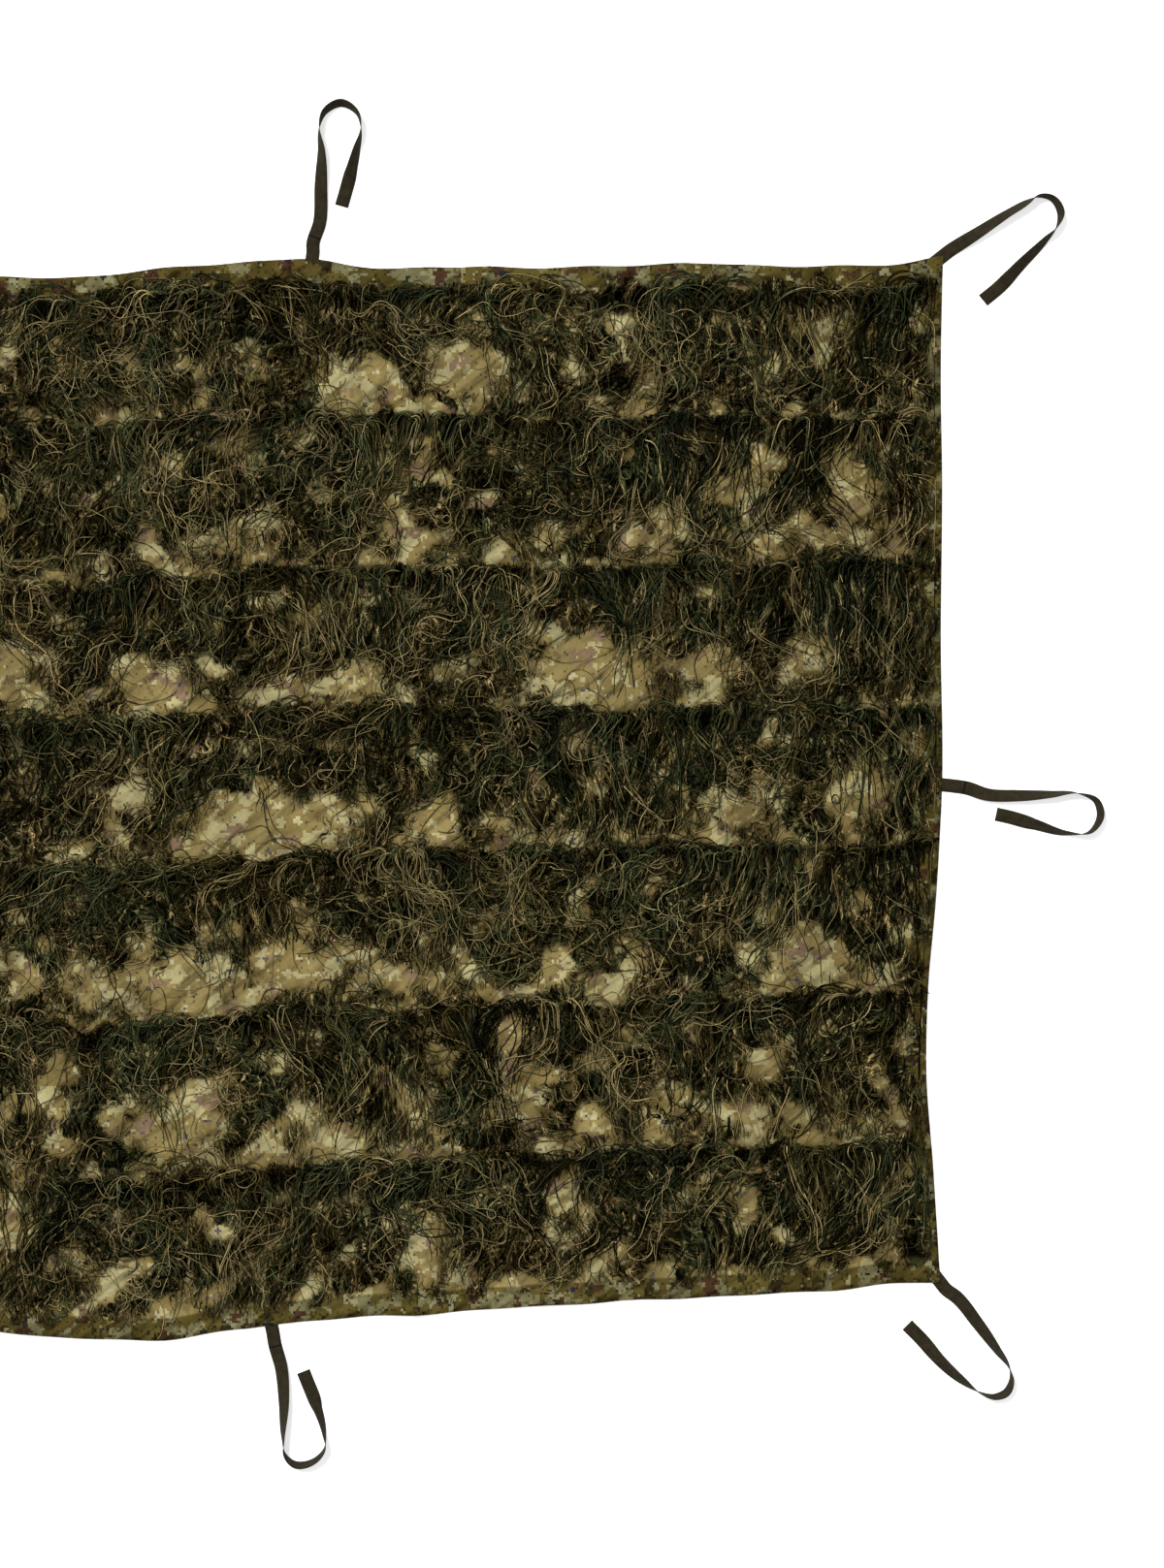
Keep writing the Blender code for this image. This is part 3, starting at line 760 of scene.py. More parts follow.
class YarnRow:
    """One row's fields: where its yarn lies, how high it is matted, which way it runs."""

    def __init__(self, row, rng):
        self.row = row
        self.rise = FIRST_ROW_RISE if row == 0 else 1.0
        self.rng = rng
        self.patches = patches_near(row)
        self.flow = Waves(rng, 70 * MM, 260 * MM)
        self.moods = Waves(rng, 150 * MM, 500 * MM)
        self.ragged = Waves(rng, 16 * MM, 60 * MM)
        self.holes = Waves(rng, 50 * MM, 130 * MM)
        self.hem_line = Waves(rng, 40 * MM, 220 * MM)
        self.greens = Waves(rng, 120 * MM, 400 * MM)
        self.lumps = Waves(rng, 22 * MM, 60 * MM, stretch=3.0)
        half = CLOTH_WIDTH / 2 - ROW_INSET
        pitch = 2 * half / BUNDLES_PER_ROW
        at = -half + pitch * (np.arange(BUNDLES_PER_ROW) + 0.5)
        self.bundle_x = np.clip(at + rng.normal(0, pitch * 0.25, len(at)), -half, half)
        self.spread = rng.uniform(0.14, 0.40, len(at)) * pitch
        self.weight = rng.lognormal(0, 0.55, len(at))
        self.arch = rng.uniform(0.4, 1.6, len(at))
        self.sway = rng.normal(0, 0.2, len(at))
        self.tint = rng.normal(0, 0.12, len(at)) - 0.12 * (self.weight - 1)
        self.drop = rng.normal(0, 5 * MM, len(at))

    def line(self, x):
        """y of the sewing line, uneven from bundle to bundle."""
        return row_y(self.row, x) + np.interp(x, np.sort(self.bundle_x), self.drop)

    def top(self, x):
        """y of the rounded upper edge of the arched bundles."""
        nearest = np.abs(x[..., None] - self.bundle_x).argmin(axis=-1)
        off = (x - self.bundle_x[nearest]) / ARCH_HALF_WIDTH
        high = ARCH_HEIGHT * self.rise * self.arch[nearest]
        return self.line(x) + high * np.sqrt(np.clip(1 - off * off, 0.12, 1))

    def head_shadow(self, x, y):
        """How much painted shadow falls right under the arches of the head: 1 there, 0 away from it."""
        below = self.line(x) - y
        return ease(-9 * MM, 0, below) * (1 - ease(5 * MM, 36 * MM, below))

    def stops_short(self, x):
        """How far above the next sewing line the matted yarn ends."""
        if self.row + 1 == len(ROW_LINES):
            return np.zeros_like(x)
        return np.clip(12 + 17 * self.hem_line(x, 0 * x), 1, 50) * MM

    def calm(self, x):
        """1 by the side edges, where the strands hang straighter and darker, 0 in the middle."""
        return 0.35 * ease(0.35, 0.6, np.abs(x)) + 0.65 * ease(0.66, 0.88, np.abs(x))

    def unrest(self, x, y):
        return np.clip(0.78 + 0.35 * self.moods(x, y) - 0.6 * self.calm(x), 0.15, 1.1)

    def cover(self, x, y):
        """How deep inside the matted yarn a place is, in cover units, below 0 outside it."""
        inside = (distance_in(x, y) - MAT_INSET) / COVER_UNIT
        over_end = y - drop_end(self.row, x) - self.stops_short(x)
        inside = np.minimum(inside, over_end / COVER_UNIT + 0.1)
        inside = np.minimum(inside, 0.9)
        for patch in self.patches:
            half_width, half_height, clear = patch[2:5]
            away = np.hypot(*from_middle(x, y, patch)) - clear**0.6
            inside = np.minimum(inside, away * min(half_width, half_height) / COVER_UNIT)
        below = self.line(x) - y
        thin_spots = np.clip(1.7 * (self.holes(x, y) - 0.3), 0, 1.15) * ease(10 * MM, 45 * MM, below)
        inside = inside - thin_spots + 0.27 * self.ragged(x, y) - 0.1
        return np.minimum(inside, (self.top(x) - y) / (6 * MM))

    def mat_height(self, x, y):
        """How far the matted yarn stands over the cloth."""
        below = self.line(x) + 6 * MM - y
        head = np.exp(-((below / (20 * MM)) ** 2))
        hang = 0.25 + 0.75 * np.exp(-np.maximum(0, below) / (110 * MM))
        lump = np.clip(0.5 + 0.45 * self.lumps(x, y), 0.05, 1.3) * hang
        return ease(-0.2, 0.4, self.cover(x, y)) * (MM + MAT_LUMPS * lump + MAT_HEAD * head)


def make_mat(yarn, lift, finish):
    """The matted yarn under the loose strands: a thin lumpy closed sheet that thins out at its rim."""
    half = CLOTH_WIDTH / 2
    columns = np.arange(-half, half, MAT_CELL)
    depth = np.arange(-MAT_ABOVE, MAT_BELOW, MAT_CELL)
    x, down = np.meshgrid(columns, depth, indexing="ij")
    y = row_y(yarn.row, x) - down
    solid = yarn.cover(x, y)
    thick_enough = cells(solid).max(axis=-1) > MAT_FADES_TO
    kept = thick_enough & (distance_in(x, y)[:-1, :-1] > SIDE_CLEARANCE)
    base = cloth_top(lift, x, y) + 0.3 * MM
    high = base + MAT_THICK + yarn.mat_height(x, y)
    index = np.arange(x.size).reshape(x.shape)
    quads = cells(index)[kept]
    under = quads[:, ::-1] + x.size
    here = quads.reshape(-1)
    after = np.roll(quads, -1, axis=1).reshape(-1)
    edges = set(zip(here.tolist(), after.tolist()))
    rims = [(a, b) for a, b in edges if (b, a) not in edges]
    walls = [(b, a, a + x.size, b + x.size) for a, b in rims]
    verts = np.stack([np.tile(x, (2, 1, 1)), np.tile(y, (2, 1, 1)), np.stack([high, base])], axis=-1)
    faces = np.concatenate([quads, under, np.array(sorted(walls))])
    used, fresh = np.unique(faces, return_inverse=True)
    values = {
        "solid": np.tile(solid.ravel(), 2)[used],
        # deep holds the painted shadow right under the arches of the head
        "deep": np.tile(yarn.head_shadow(x, y).ravel(), 2)[used],
        "unrest": np.tile(yarn.unrest(x, y).ravel(), 2)[used],
    }
    faces = fresh.reshape(faces.shape)[:, ::-1].tolist()
    return new_piece(f"mat_{yarn.row + 1}", verts.reshape(-1, 3)[used], faces, finish, values)


KINDS = {
    # short arches on the sewing line, long rooted strands, the tangle on the mat, the light
    # strands that lie on it, stray long ones
    "arched": dict(
        count=ARCHED_PER_ROW, tuft=4, apart=4.0, arches=1.0, stray=0.2, stop=0, longest=(50, 110),
        mess=0.6, loops=0.0, curls=0.2, patience=0.3, heeds=0.80, layers=(3.0, 9.0), width=1.0,
        weave=2.6, light=0.2,
    ),
    "rooted": dict(
        count=ROOTED_PER_ROW, tuft=5, apart=5.0, arches=0.75, stray=0.16, stop=10, longest=(130, 300),
        mess=0.9, loops=0.06, curls=0.3, patience=0.15, heeds=0.80, layers=(0.5, 7.0), width=1.0,
        weave=2.6, light=0.0,
    ),
    "tangled": dict(
        count=TANGLED_PER_ROW, tuft=4, apart=6.5, arches=0.0, stray=0.7, stop=12, longest=(60, 190),
        mess=1.05, loops=0.12, curls=0.35, patience=0.20, heeds=0.76, layers=(0.3, 6.5), width=1.05,
        weave=2.6, light=-0.1,
    ),
    "pale": dict(
        count=PALE_PER_ROW, tuft=2, apart=7.0, arches=0.0, stray=0.8, stop=6, longest=(60, 230),
        mess=1.15, loops=0.12, curls=0.5, patience=0.3, heeds=0.72, layers=(2.5, 7.5), width=0.75,
        weave=3.8, light=0.6,
    ),
    "wisp": dict(
        count=WISPS_PER_ROW, tuft=1, apart=0.0, arches=0.3, stray=0.8, stop=-10, longest=(110, 300),
        mess=1.35, loops=0.3, curls=0.7, patience=0.6, heeds=0.12, layers=(3.0, 8.0), width=0.75,
        weave=2.6, light=-0.15,
    ),
}


def tuft_starts(yarn, kind, count):
    """x, y, bundle, side and first heading of a row's tufts of one kind."""
    rng = yarn.rng
    if kind["arches"]:
        of = rng.choice(BUNDLES_PER_ROW, count, p=yarn.weight / yarn.weight.sum())
        offset = np.clip(rng.normal(0, 1, count), -2, 2)
        limit = CLOTH_WIDTH / 2 - ROW_INSET
        x = np.clip(yarn.bundle_x[of] + offset * yarn.spread[of], -limit, limit)
        y = yarn.line(x) + rng.uniform(-5, 4, count) * MM
        side = np.where(rng.random(count) < LEAN_OUT_SHARE, np.sign(offset), -np.sign(offset))
        arches = rng.random(count) < kind["arches"]
        turned = rng.uniform(*ARCH_TURNS, count)
        start = np.where(arches, turned, np.abs(rng.normal(0, 0.6, count)))
        return x, y, of, side, start
    tries = count * 4
    x = rng.uniform(-SOWN_HALF_WIDTH, SOWN_HALF_WIDTH, tries)
    line, end = yarn.line(x), drop_end(yarn.row, x)
    y = line + (end - line) * rng.uniform(-0.06, 0.9, tries)
    likely = ease(-0.4, 0.3, yarn.cover(x, y)) + 0.05
    chosen = np.nonzero(rng.random(tries) < likely)[0][:count]
    x, y = x[chosen], y[chosen]
    of = np.abs(x[:, None] - yarn.bundle_x).argmin(axis=1)
    return x, y, of, rng.choice([-1.0, 1.0], len(x)), np.zeros(len(x))


def trace(yarn, kind):
    """Follows strands over the cloth, a step at a time. Those of a tuft lie nearly side by side."""
    rng = yarn.rng
    x, y, of, side, start = tuft_starts(yarn, kind, kind["count"] // kind["tuft"])
    tuft = np.repeat(np.arange(len(x)), kind["tuft"])
    count = len(tuft)
    loose = np.where(rng.random(count) < LOOSE_SHARE, 1.0, TUFT_FREEDOM)

    def varied(low, high):
        """A number for each strand that a tuft's strands nearly share."""
        shared, own = rng.uniform(low, high, len(x)), rng.uniform(low, high, count)
        return shared[tuft] * (1 - loose) + own * loose

    turn_radius = (5 + 17 * varied(0, 1) ** 1.5) * MM * yarn.rise * yarn.arch[of[tuft]]
    sway = yarn.sway[of[tuft]] + rng.normal(0, kind["stray"], len(x))[tuft]
    sway = sway + rng.normal(0, 0.35, count) * loose
    slow_turn, quick_turn = varied(0.3, 1.3), varied(0.03, 0.35)
    slow_wave = 2 * math.pi / (varied(*SLOW_WAVES) * MM)
    quick_wave = 2 * math.pi / (varied(*QUICK_WAVES) * MM)
    slow_phase, quick_phase = varied(0, 2 * math.pi), varied(0, 2 * math.pi)
    ends = varied(*kind["longest"]) * rng.uniform(0.75, 1.1, count) * MM
    loop_at = varied(0.15, 0.8) * ends
    loop_radius = varied(*LOOP_RADII) * MM
    loops = (rng.random(count) < kind["loops"]) * rng.choice([-1, 1], count)
    curls = (rng.random(count) < kind["curls"]) * rng.choice([-1, 1], count)
    curls = curls * rng.uniform(*CURL_RATES, count)
    patience = rng.normal(kind["patience"], 0.3, count)
    crosses = rng.random(count)
    stopped = np.zeros(count, bool)
    x = x[tuft] + rng.normal(0, 1, count) * kind["apart"] * MM
    y = y[tuft] + rng.normal(0, 1, count) * kind["apart"] * MM * 0.5
    start, side, of = start[tuft] * rng.uniform(0.92, 1.08, count), side[tuft], of[tuft]
    stop_y = drop_end(yarn.row, x) + rng.normal(kind["stop"] * MM, 14 * MM, count)
    stop_y = stop_y + yarn.stops_short(x) * rng.uniform(0, 0.8, count)
    xs, ys = np.empty((count, STEPS)), np.empty((count, STEPS))
    for k in range(STEPS):
        s = k * STEP
        turn_in = np.maximum(0, start - s / turn_radius)
        free = 1 - np.minimum(1, turn_in / 1.2)
        mess = yarn.unrest(x, y) * kind["mess"]
        wander = slow_turn * np.sin(slow_wave * s + slow_phase)
        wander += quick_turn * np.sin(quick_wave * s + quick_phase)
        angle = side * turn_in + free * (
            sway * (0.4 + 0.6 * mess) + yarn.flow(x, y) * (0.25 + 0.45 * mess) + mess * wander
        )
        angle += 2 * math.pi * loops * ease(0, 1, (s - loop_at) / (2 * math.pi * loop_radius))
        angle += curls * np.maximum(0, s - ends + CURL_LENGTH)
        depth, out, clear = bareness(x, y, yarn.patches)
        xs[:, k], ys[:, k] = x, y
        minds = crosses < clear * kind["heeds"]
        step = np.stack([np.sin(angle), -np.cos(angle)])
        inward = np.minimum(0, (step * out).sum(axis=0))
        steer = ease(-0.3, 0.25, depth) * minds * STEER
        step = step - steer * inward * out
        enters = ~stopped & minds & (depth > patience) & (s > BEFORE_STOPPING)
        arrives = ~stopped & (y < stop_y)
        ends = np.where(enters | arrives, np.minimum(ends, s + 3 * MM), ends)
        stopped |= enters | arrives
        x, y = x + STEP * step[0], y + STEP * step[1]
        x = np.clip(x, side_x(y, LEFT_EDGE) + SIDE_CLEARANCE, side_x(y, RIGHT_EDGE) - SIDE_CLEARANCE)
        y = np.minimum(y, smooth_through(TOP_EDGE, x / MM) * MM - SIDE_CLEARANCE)
    return tuft, of, xs, ys, np.clip(ends, SHORTEST_STRAND, (STEPS - 1) * STEP)


def resample(tracks, loads, ends, points):
    """Reads tracks at places that crowd where a strand bends, from its root to its end."""
    run = np.arange(STEPS) * STEP
    found = np.empty((len(tracks), len(ends), points))
    for i, end in enumerate(ends):
        stop = np.interp(end, run, loads[i])
        at = np.linspace(0, stop, points)
        for track, out in zip(tracks, found):
            out[i] = np.interp(at, loads[i], track if track.ndim == 1 else track[i])
    return found


def bend_loads(xs, ys):
    """Running sum of how many points each strand needs, for its length and for its turns."""
    heading = np.unwrap(np.arctan2(np.diff(xs, axis=1), -np.diff(ys, axis=1)), axis=1)
    turns = np.abs(np.diff(heading, axis=1, prepend=heading[:, :1]))
    rate = STEP / STRAIGHT_SPACING + turns / TURN_SPACING
    return np.concatenate([np.zeros((len(xs), 1)), np.cumsum(rate, axis=1)], axis=1)


def distance_in(x, y):
    """How far inside the cloth's edges a place is."""
    u = x / CLOTH_WIDTH + 0.5
    right, left = side_x(y, RIGHT_EDGE) - x, x - side_x(y, LEFT_EDGE)
    below = y - smooth_through(BOTTOM_EDGE, (u - 0.5) * BOTTOM_SPAN) * MM
    above = smooth_through(TOP_EDGE, (u - 0.5) * CLOTH_WIDTH / MM) * MM - y
    return np.minimum(np.minimum(right, left), np.minimum(below, above))


def joined(parts):
    """Points and faces of several parts as those of one mesh. A part may hold more after them."""
    faces, start = [], 0
    for verts, part_faces, *_ in parts:
        faces.extend([[corner + start for corner in face] for face in part_faces])
        start += len(verts)
    return np.concatenate([part[0] for part in parts]), faces


def cloth_top(lift, x, y):
    hem = ease(0, 1, (HEM_WIDTH + 3 * MM - distance_in(x, y)) / (8 * MM))
    return lift(x, y) + CLOTH_THICK + (HEM_THICK - CLOTH_THICK) * hem


def shades(yarn, x, y, tuft, tint, layer_share):
    """A colour for each strand: lighter ones more often on top and darker ones lower down, partly their
    own colours and partly painted shade deep in the pile; like ones near each other; painted shadow on
    the lower strands right under the head.
    """
    rng, count = yarn.rng, len(x)
    near = rng.random(tuft[-1] + 1)[tuft]
    luck = rng.random(count) * 0.45 + near * 0.15 + layer_share * 0.4
    pick = np.clip(luck + tint - 0.2 * yarn.calm(x), 0, 0.999)
    dice = rng.random(tuft[-1] + 1)[tuft] * 0.7 + rng.random(count) * 0.3
    green = dice < 0.5 + 0.25 * yarn.greens(x, y)
    found = np.empty((count, 3))
    for table, mine in ((BROWN_YARN, ~green), (GREEN_YARN, green)):
        table = np.array(table)
        edges = np.cumsum(table[:, 0]) / table[:, 0].sum()
        found[mine] = table[np.searchsorted(edges, pick[mine]), 1:]
    # Painted shadow on the lower strands right under the arches of the head.
    shadowed = 1 - 0.3 * yarn.head_shadow(x, y) * (layer_share < 0.6)
    return found * rng.lognormal(0, 0.28, (count, 1)) * shadowed[:, None]


def strands(yarn, lift, kind):
    """Parts of one kind of strand in a row: points, faces, shades and places along."""
    rng = yarn.rng
    tuft, of, xs, ys, ends = trace(yarn, kind)
    count = len(of)
    loads = bend_loads(xs, ys)
    run = np.arange(STEPS) * STEP
    needs = np.array([np.interp(end, run, load) for end, load in zip(ends, loads)]) + 2.5
    share = rng.random(tuft[-1] + 1)[tuft] * 0.7 + rng.random(count) * 0.3
    low, high = kind["layers"]
    layer = (low + (high - low) * share) * MM
    size = rng.uniform(0.75, 1.2, count) * kind["width"] * STRAND_RADIUS
    shade = shades(yarn, xs[:, 4], ys[:, 4], tuft, yarn.tint[of] + kind["light"], share)
    ripple = rng.uniform(60, 160, count)
    phase, start = rng.uniform(0, 6.3, count), rng.uniform(0, 9, count)
    parts = []
    for points, least in zip(POINT_COUNTS, (0, *POINT_COUNTS[:-1])):
        most = points if points != POINT_COUNTS[-1] else np.inf
        mine = np.nonzero((needs > least) & (needs <= most))[0]
        if len(mine) == 0:
            continue
        x, y, s = resample((xs[mine], ys[mine], run), loads[mine], ends[mine], points)
        far = s / ends[mine, None]
        radius = size[mine, None] * (1 - 0.5 * far**3)
        rise = 0.25 + 0.75 * ease(0, 1, s / (18 * MM)) * (1 - 0.5 * far**3)
        matted = ease(-0.3, 0.3, yarn.cover(x, y))
        wave = np.sin(s * ripple[mine, None] + phase[mine, None])
        weave = kind["weave"] * MM * wave * (0.2 + 0.8 * matted)
        above = layer[mine, None] * rise * (0.35 + 0.65 * matted) + weave
        z = cloth_top(lift, x, y) + radius + np.maximum(0, yarn.mat_height(x, y) + above)
        verts, faces = tubes(np.stack([x, y, z], axis=-1), radius)
        along = np.repeat((s + start[mine, None]).reshape(-1), TUBE_SIDES)
        shown = np.repeat(shade[mine], points * TUBE_SIDES, axis=0)
        parts.append((verts, faces, shown, along))
    return parts


def make_row(yarn, lift, loose, matted):
    parts = [part for kind in KINDS.values() for part in strands(yarn, lift, kind)]
    verts, faces = joined(parts)
    values = {
        "shade": np.concatenate([part[2] for part in parts]),
        "along": np.concatenate([part[3] for part in parts]),
    }
    piece = new_piece(f"yarn_{yarn.row + 1}", verts, faces, loose, values)
    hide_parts(f"yarn_row_{yarn.row + 1}")
    return [piece, make_mat(yarn, lift, matted)]


# ---------------------------------------------------------------- ties


def tie_tables():
    """Each tie's root, turn and route, those of the unseen side mirrored."""
    found = {name: (TIE_ROOTS[name], route) for name, route in TIE_ROUTES.items()}
    for name, source in MIRRORED_TIES.items():
        (x, y, heading, turn), route = found[source]
        found[name] = ((-x, y, 180 - heading, -turn), [(-px, py, lean) for px, py, lean in route])
    return found


def tie_path(root, route):
    """Centre points, leans and run of a tie, from its sewn end to its free end."""
    x, y, heading, _ = root
    ahead = unit_vector(heading)
    start = np.array((x, y), float)
    fixed = [start - ahead * TIE_IN_HEM / MM, start, start + ahead * TIE_LEADS_OUT / MM]
    points = np.array(fixed + [(px, py) for px, py, _ in route])
    leans = np.array([0, 0, 0] + [lean for _, _, lean in route], float)
    run = run_along(points)
    at = np.linspace(0, run[-1], TIE_STATIONS)
    centre = np.stack([smooth_through(list(zip(run, points[:, k])), at) * MM for k in (0, 1)], axis=1)
    eased = np.clip(((run[-1] - at) * MM - TAIL_FLAT) / TAIL_EASE, 0, 1)
    return centre, np.radians(smooth_through(list(zip(run, leans)), at) * eased), at * MM


def make_tie(name, root, route, finish):
    """Webbing with rounded edges that twists up onto its edge round its loop."""
    centre, lean, run = tie_path(root, route)
    turn = root[3]
    ahead = np.gradient(centre, axis=0)
    ahead /= np.linalg.norm(ahead, axis=1)[:, None]
    inwards = np.column_stack([-ahead[:, 1], ahead[:, 0]]) * turn
    profile = (
        # share of half the width, share of half the thickness
        (-1.00, 0.0), (-0.97, 0.9), (-0.4, 0.8), (0.4, 0.8), (0.97, 0.9),
        (1.00, 0.0), (0.97, -0.9), (0.4, -0.8), (-0.4, -0.8), (-0.97, -0.9),
    )
    half_width, half_thick = TIE_WIDTH / 2, TIE_THICK / 2
    middle = np.abs(np.sin(lean)) * half_width + np.abs(np.cos(lean)) * half_thick
    middle += 0.25 * MM * (1 - np.abs(np.sin(lean))) * (1 + np.sin(run * 55)) * ease(0.03, 0.06, run)
    rings, across = [], []
    for share, depth in profile:
        reach, off = share * half_width, depth * half_thick
        flat = inwards * (reach * np.cos(lean) - off * np.sin(lean))[:, None]
        z = middle + reach * np.sin(lean) + off * np.cos(lean)
        rings.append(np.column_stack([centre + flat, z]))
        across.append(np.full(len(run), share * half_width))
    verts = np.stack(rings, axis=1)
    index = np.arange(verts.shape[0] * len(profile)).reshape(-1, len(profile))
    here, after = index[:-1], index[1:]
    walls = np.stack([here, np.roll(here, -1, 1), np.roll(after, -1, 1), after], axis=-1).reshape(-1, 4)
    faces = walls.tolist() + [index[0][::-1].tolist(), index[-1].tolist()]
    if turn < 0:
        faces = [face[::-1] for face in faces]
    values = {
        "along": np.repeat(run, len(profile)),
        "across": np.stack(across, axis=1).ravel(),
        "creased": np.full(len(run) * len(profile), float(name in CREASED_TIES)),
    }
    piece = new_piece(name + "_webbing", verts.reshape(-1, 3), faces, finish, values)
    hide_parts(name)
    return piece


# ---------------------------------------------------------------- stitches


def stitch_row(points, tops, length, pitch, radius):
    """Short threads along a line of (x, y) points, each dipping into the cloth at its ends."""
    run = run_along(points)
    count = int(run[-1] / pitch)
    middle = (np.arange(count) + 0.5) * pitch
    places = middle[:, None] + np.array([-0.5, 0.0, 0.5]) * length
    x, y, top = (np.interp(places, run, column) for column in (points[:, 0], points[:, 1], tops))
    z = top + np.array([-0.3, 0.25, -0.3]) * MM
    return tubes(np.stack([x, y, z], axis=-1), np.full(places.shape, radius))


def make_hem_stitches(lift, finish):
    """The seam along the hem and the boxed cross at each tie."""
    across, down = SEAM_FROM_EDGE / CLOTH_WIDTH, SEAM_FROM_EDGE / CLOTH_HEIGHT
    corners = ((across, down), (1 - across, down), (1 - across, 1 - down), (across, 1 - down))
    u, v = [], []
    for here, after in zip(corners, corners[1:] + corners[:1]):
        u.append(np.linspace(here[0], after[0], SEAM_POINTS))
        v.append(np.linspace(here[1], after[1], SEAM_POINTS))
    x, y = cloth_point(np.concatenate(u), np.concatenate(v))
    lines = [(np.column_stack([x, y]), SEAM_STITCH, SEAM_PITCH)]
    for (root_x, root_y, heading, _), _ in tie_tables().values():
        ahead = unit_vector(heading)
        aside = np.array((-ahead[1], ahead[0]))
        box = [(root_x, root_y) + inwards * ahead + across * aside for inwards, across in TIE_BOX]
        lines.append((np.array(box) * MM, BOX_STITCH, BOX_PITCH))
    rows = []
    for points, length, pitch in lines:
        tops = lift(points[:, 0], points[:, 1]) + HEM_THICK
        rows.append(stitch_row(points, tops, length, pitch, THREAD_RADIUS))
    verts, faces = joined(rows)
    return new_piece("hem_stitches", verts, faces, finish)


# ---------------------------------------------------------------- materials


class Nodes:
    """Short names for making and joining a material's nodes."""

    def __init__(self, name):
        self.material = bpy.data.materials.new(name)
        self.material.use_nodes = True
        self.tree = self.material.node_tree
        self.shader = self.tree.nodes["Principled BSDF"]
        self.place = self.add("NewGeometry").outputs["Position"]

    def add(self, kind, inputs=None, **settings):
        node = self.tree.nodes.new("ShaderNode" + kind)
        for key, value in settings.items():
            setattr(node, key, value)
        for key, value in (inputs or {}).items():
            self.give(node.inputs[key], value)
        return node

    def give(self, socket, value):
        if isinstance(value, bpy.types.NodeSocket):
            self.tree.links.new(value, socket)
        else:
            socket.default_value = value

    def surface(self, colour, roughness, specular=0.5):
        """Gives the shader its colour, matt or glossy as a whole."""
        self.give(self.shader.inputs["Base Color"], colour)
        self.shader.inputs["Roughness"].default_value = roughness
        self.shader.inputs["Specular IOR Level"].default_value = specular

    def maths(self, operation, a, b=0.0, c=0.0):
        return self.add("Math", {0: a, 1: b, 2: c}, operation=operation).outputs[0]

    def vectors(self, operation, a, b):
        return self.add("VectorMath", {0: a, 1: b}, operation=operation).outputs[0]

    def fade(self, value, low, high):
        """0 below low, 1 above high, straight between."""
        return self.add("MapRange", {"Value": value, 1: low, 2: high}).outputs[0]

    def attribute(self, name, output="Fac"):
        node = self.add("Attribute", attribute_name=name, attribute_type="GEOMETRY")
        return node.outputs[output]

    def mix(self, factor, a, b, blend="MIX"):
        node = self.add("Mix", data_type="RGBA", blend_type=blend, clamp_factor=True)
        self.give(node.inputs["Factor"], factor)
        self.give(node.inputs["A"], a)
        self.give(node.inputs["B"], b)
        return node.outputs["Result"]

    def times(self, a, b, factor=1.0):
        return self.mix(factor, a, b, "MULTIPLY")

    def ramp(self, value, stops):
        node = self.add("ValToRGB", {"Fac": value})
        while len(node.color_ramp.elements) < len(stops):
            node.color_ramp.elements.new(0.5)
        for element, (place, colour) in zip(node.color_ramp.elements, stops):
            element.position = place
            element.color = (*colour, 1)
        return node.outputs["Color"]

    def greys(self, value, *stops):
        """A ramp of greys, with a place and a grey for each stop."""
        return self.ramp(value, [(place, (grey, grey, grey)) for place, grey in stops])

    def ripples(self, along, pitch):
        """Even waves, one to each pitch of the way along."""
        return self.maths("SINE", self.maths("MULTIPLY", along, 2 * math.pi / pitch))

    def noise(self, where, scale, detail=2.0, roughness=0.5):
        inputs = {"Vector": where, "Scale": scale, "Detail": detail, "Roughness": roughness}
        return self.add("TexNoise", inputs).outputs["Fac"]

    def slanted(self, where, turn, across, along):
        """Places turned first and then scaled, for patterns that run aslant."""
        inputs = {"Vector": where, "Rotation": (0, 0, turn), "Scale": (1 / across, 1 / along, 1)}
        return self.add("Mapping", inputs, vector_type="TEXTURE").outputs[0]

    def bump(self, height, distance, strength=1.0):
        node = self.add("Bump", {"Height": height, "Distance": distance, "Strength": strength})
        self.give(self.shader.inputs["Normal"], node.outputs["Normal"])


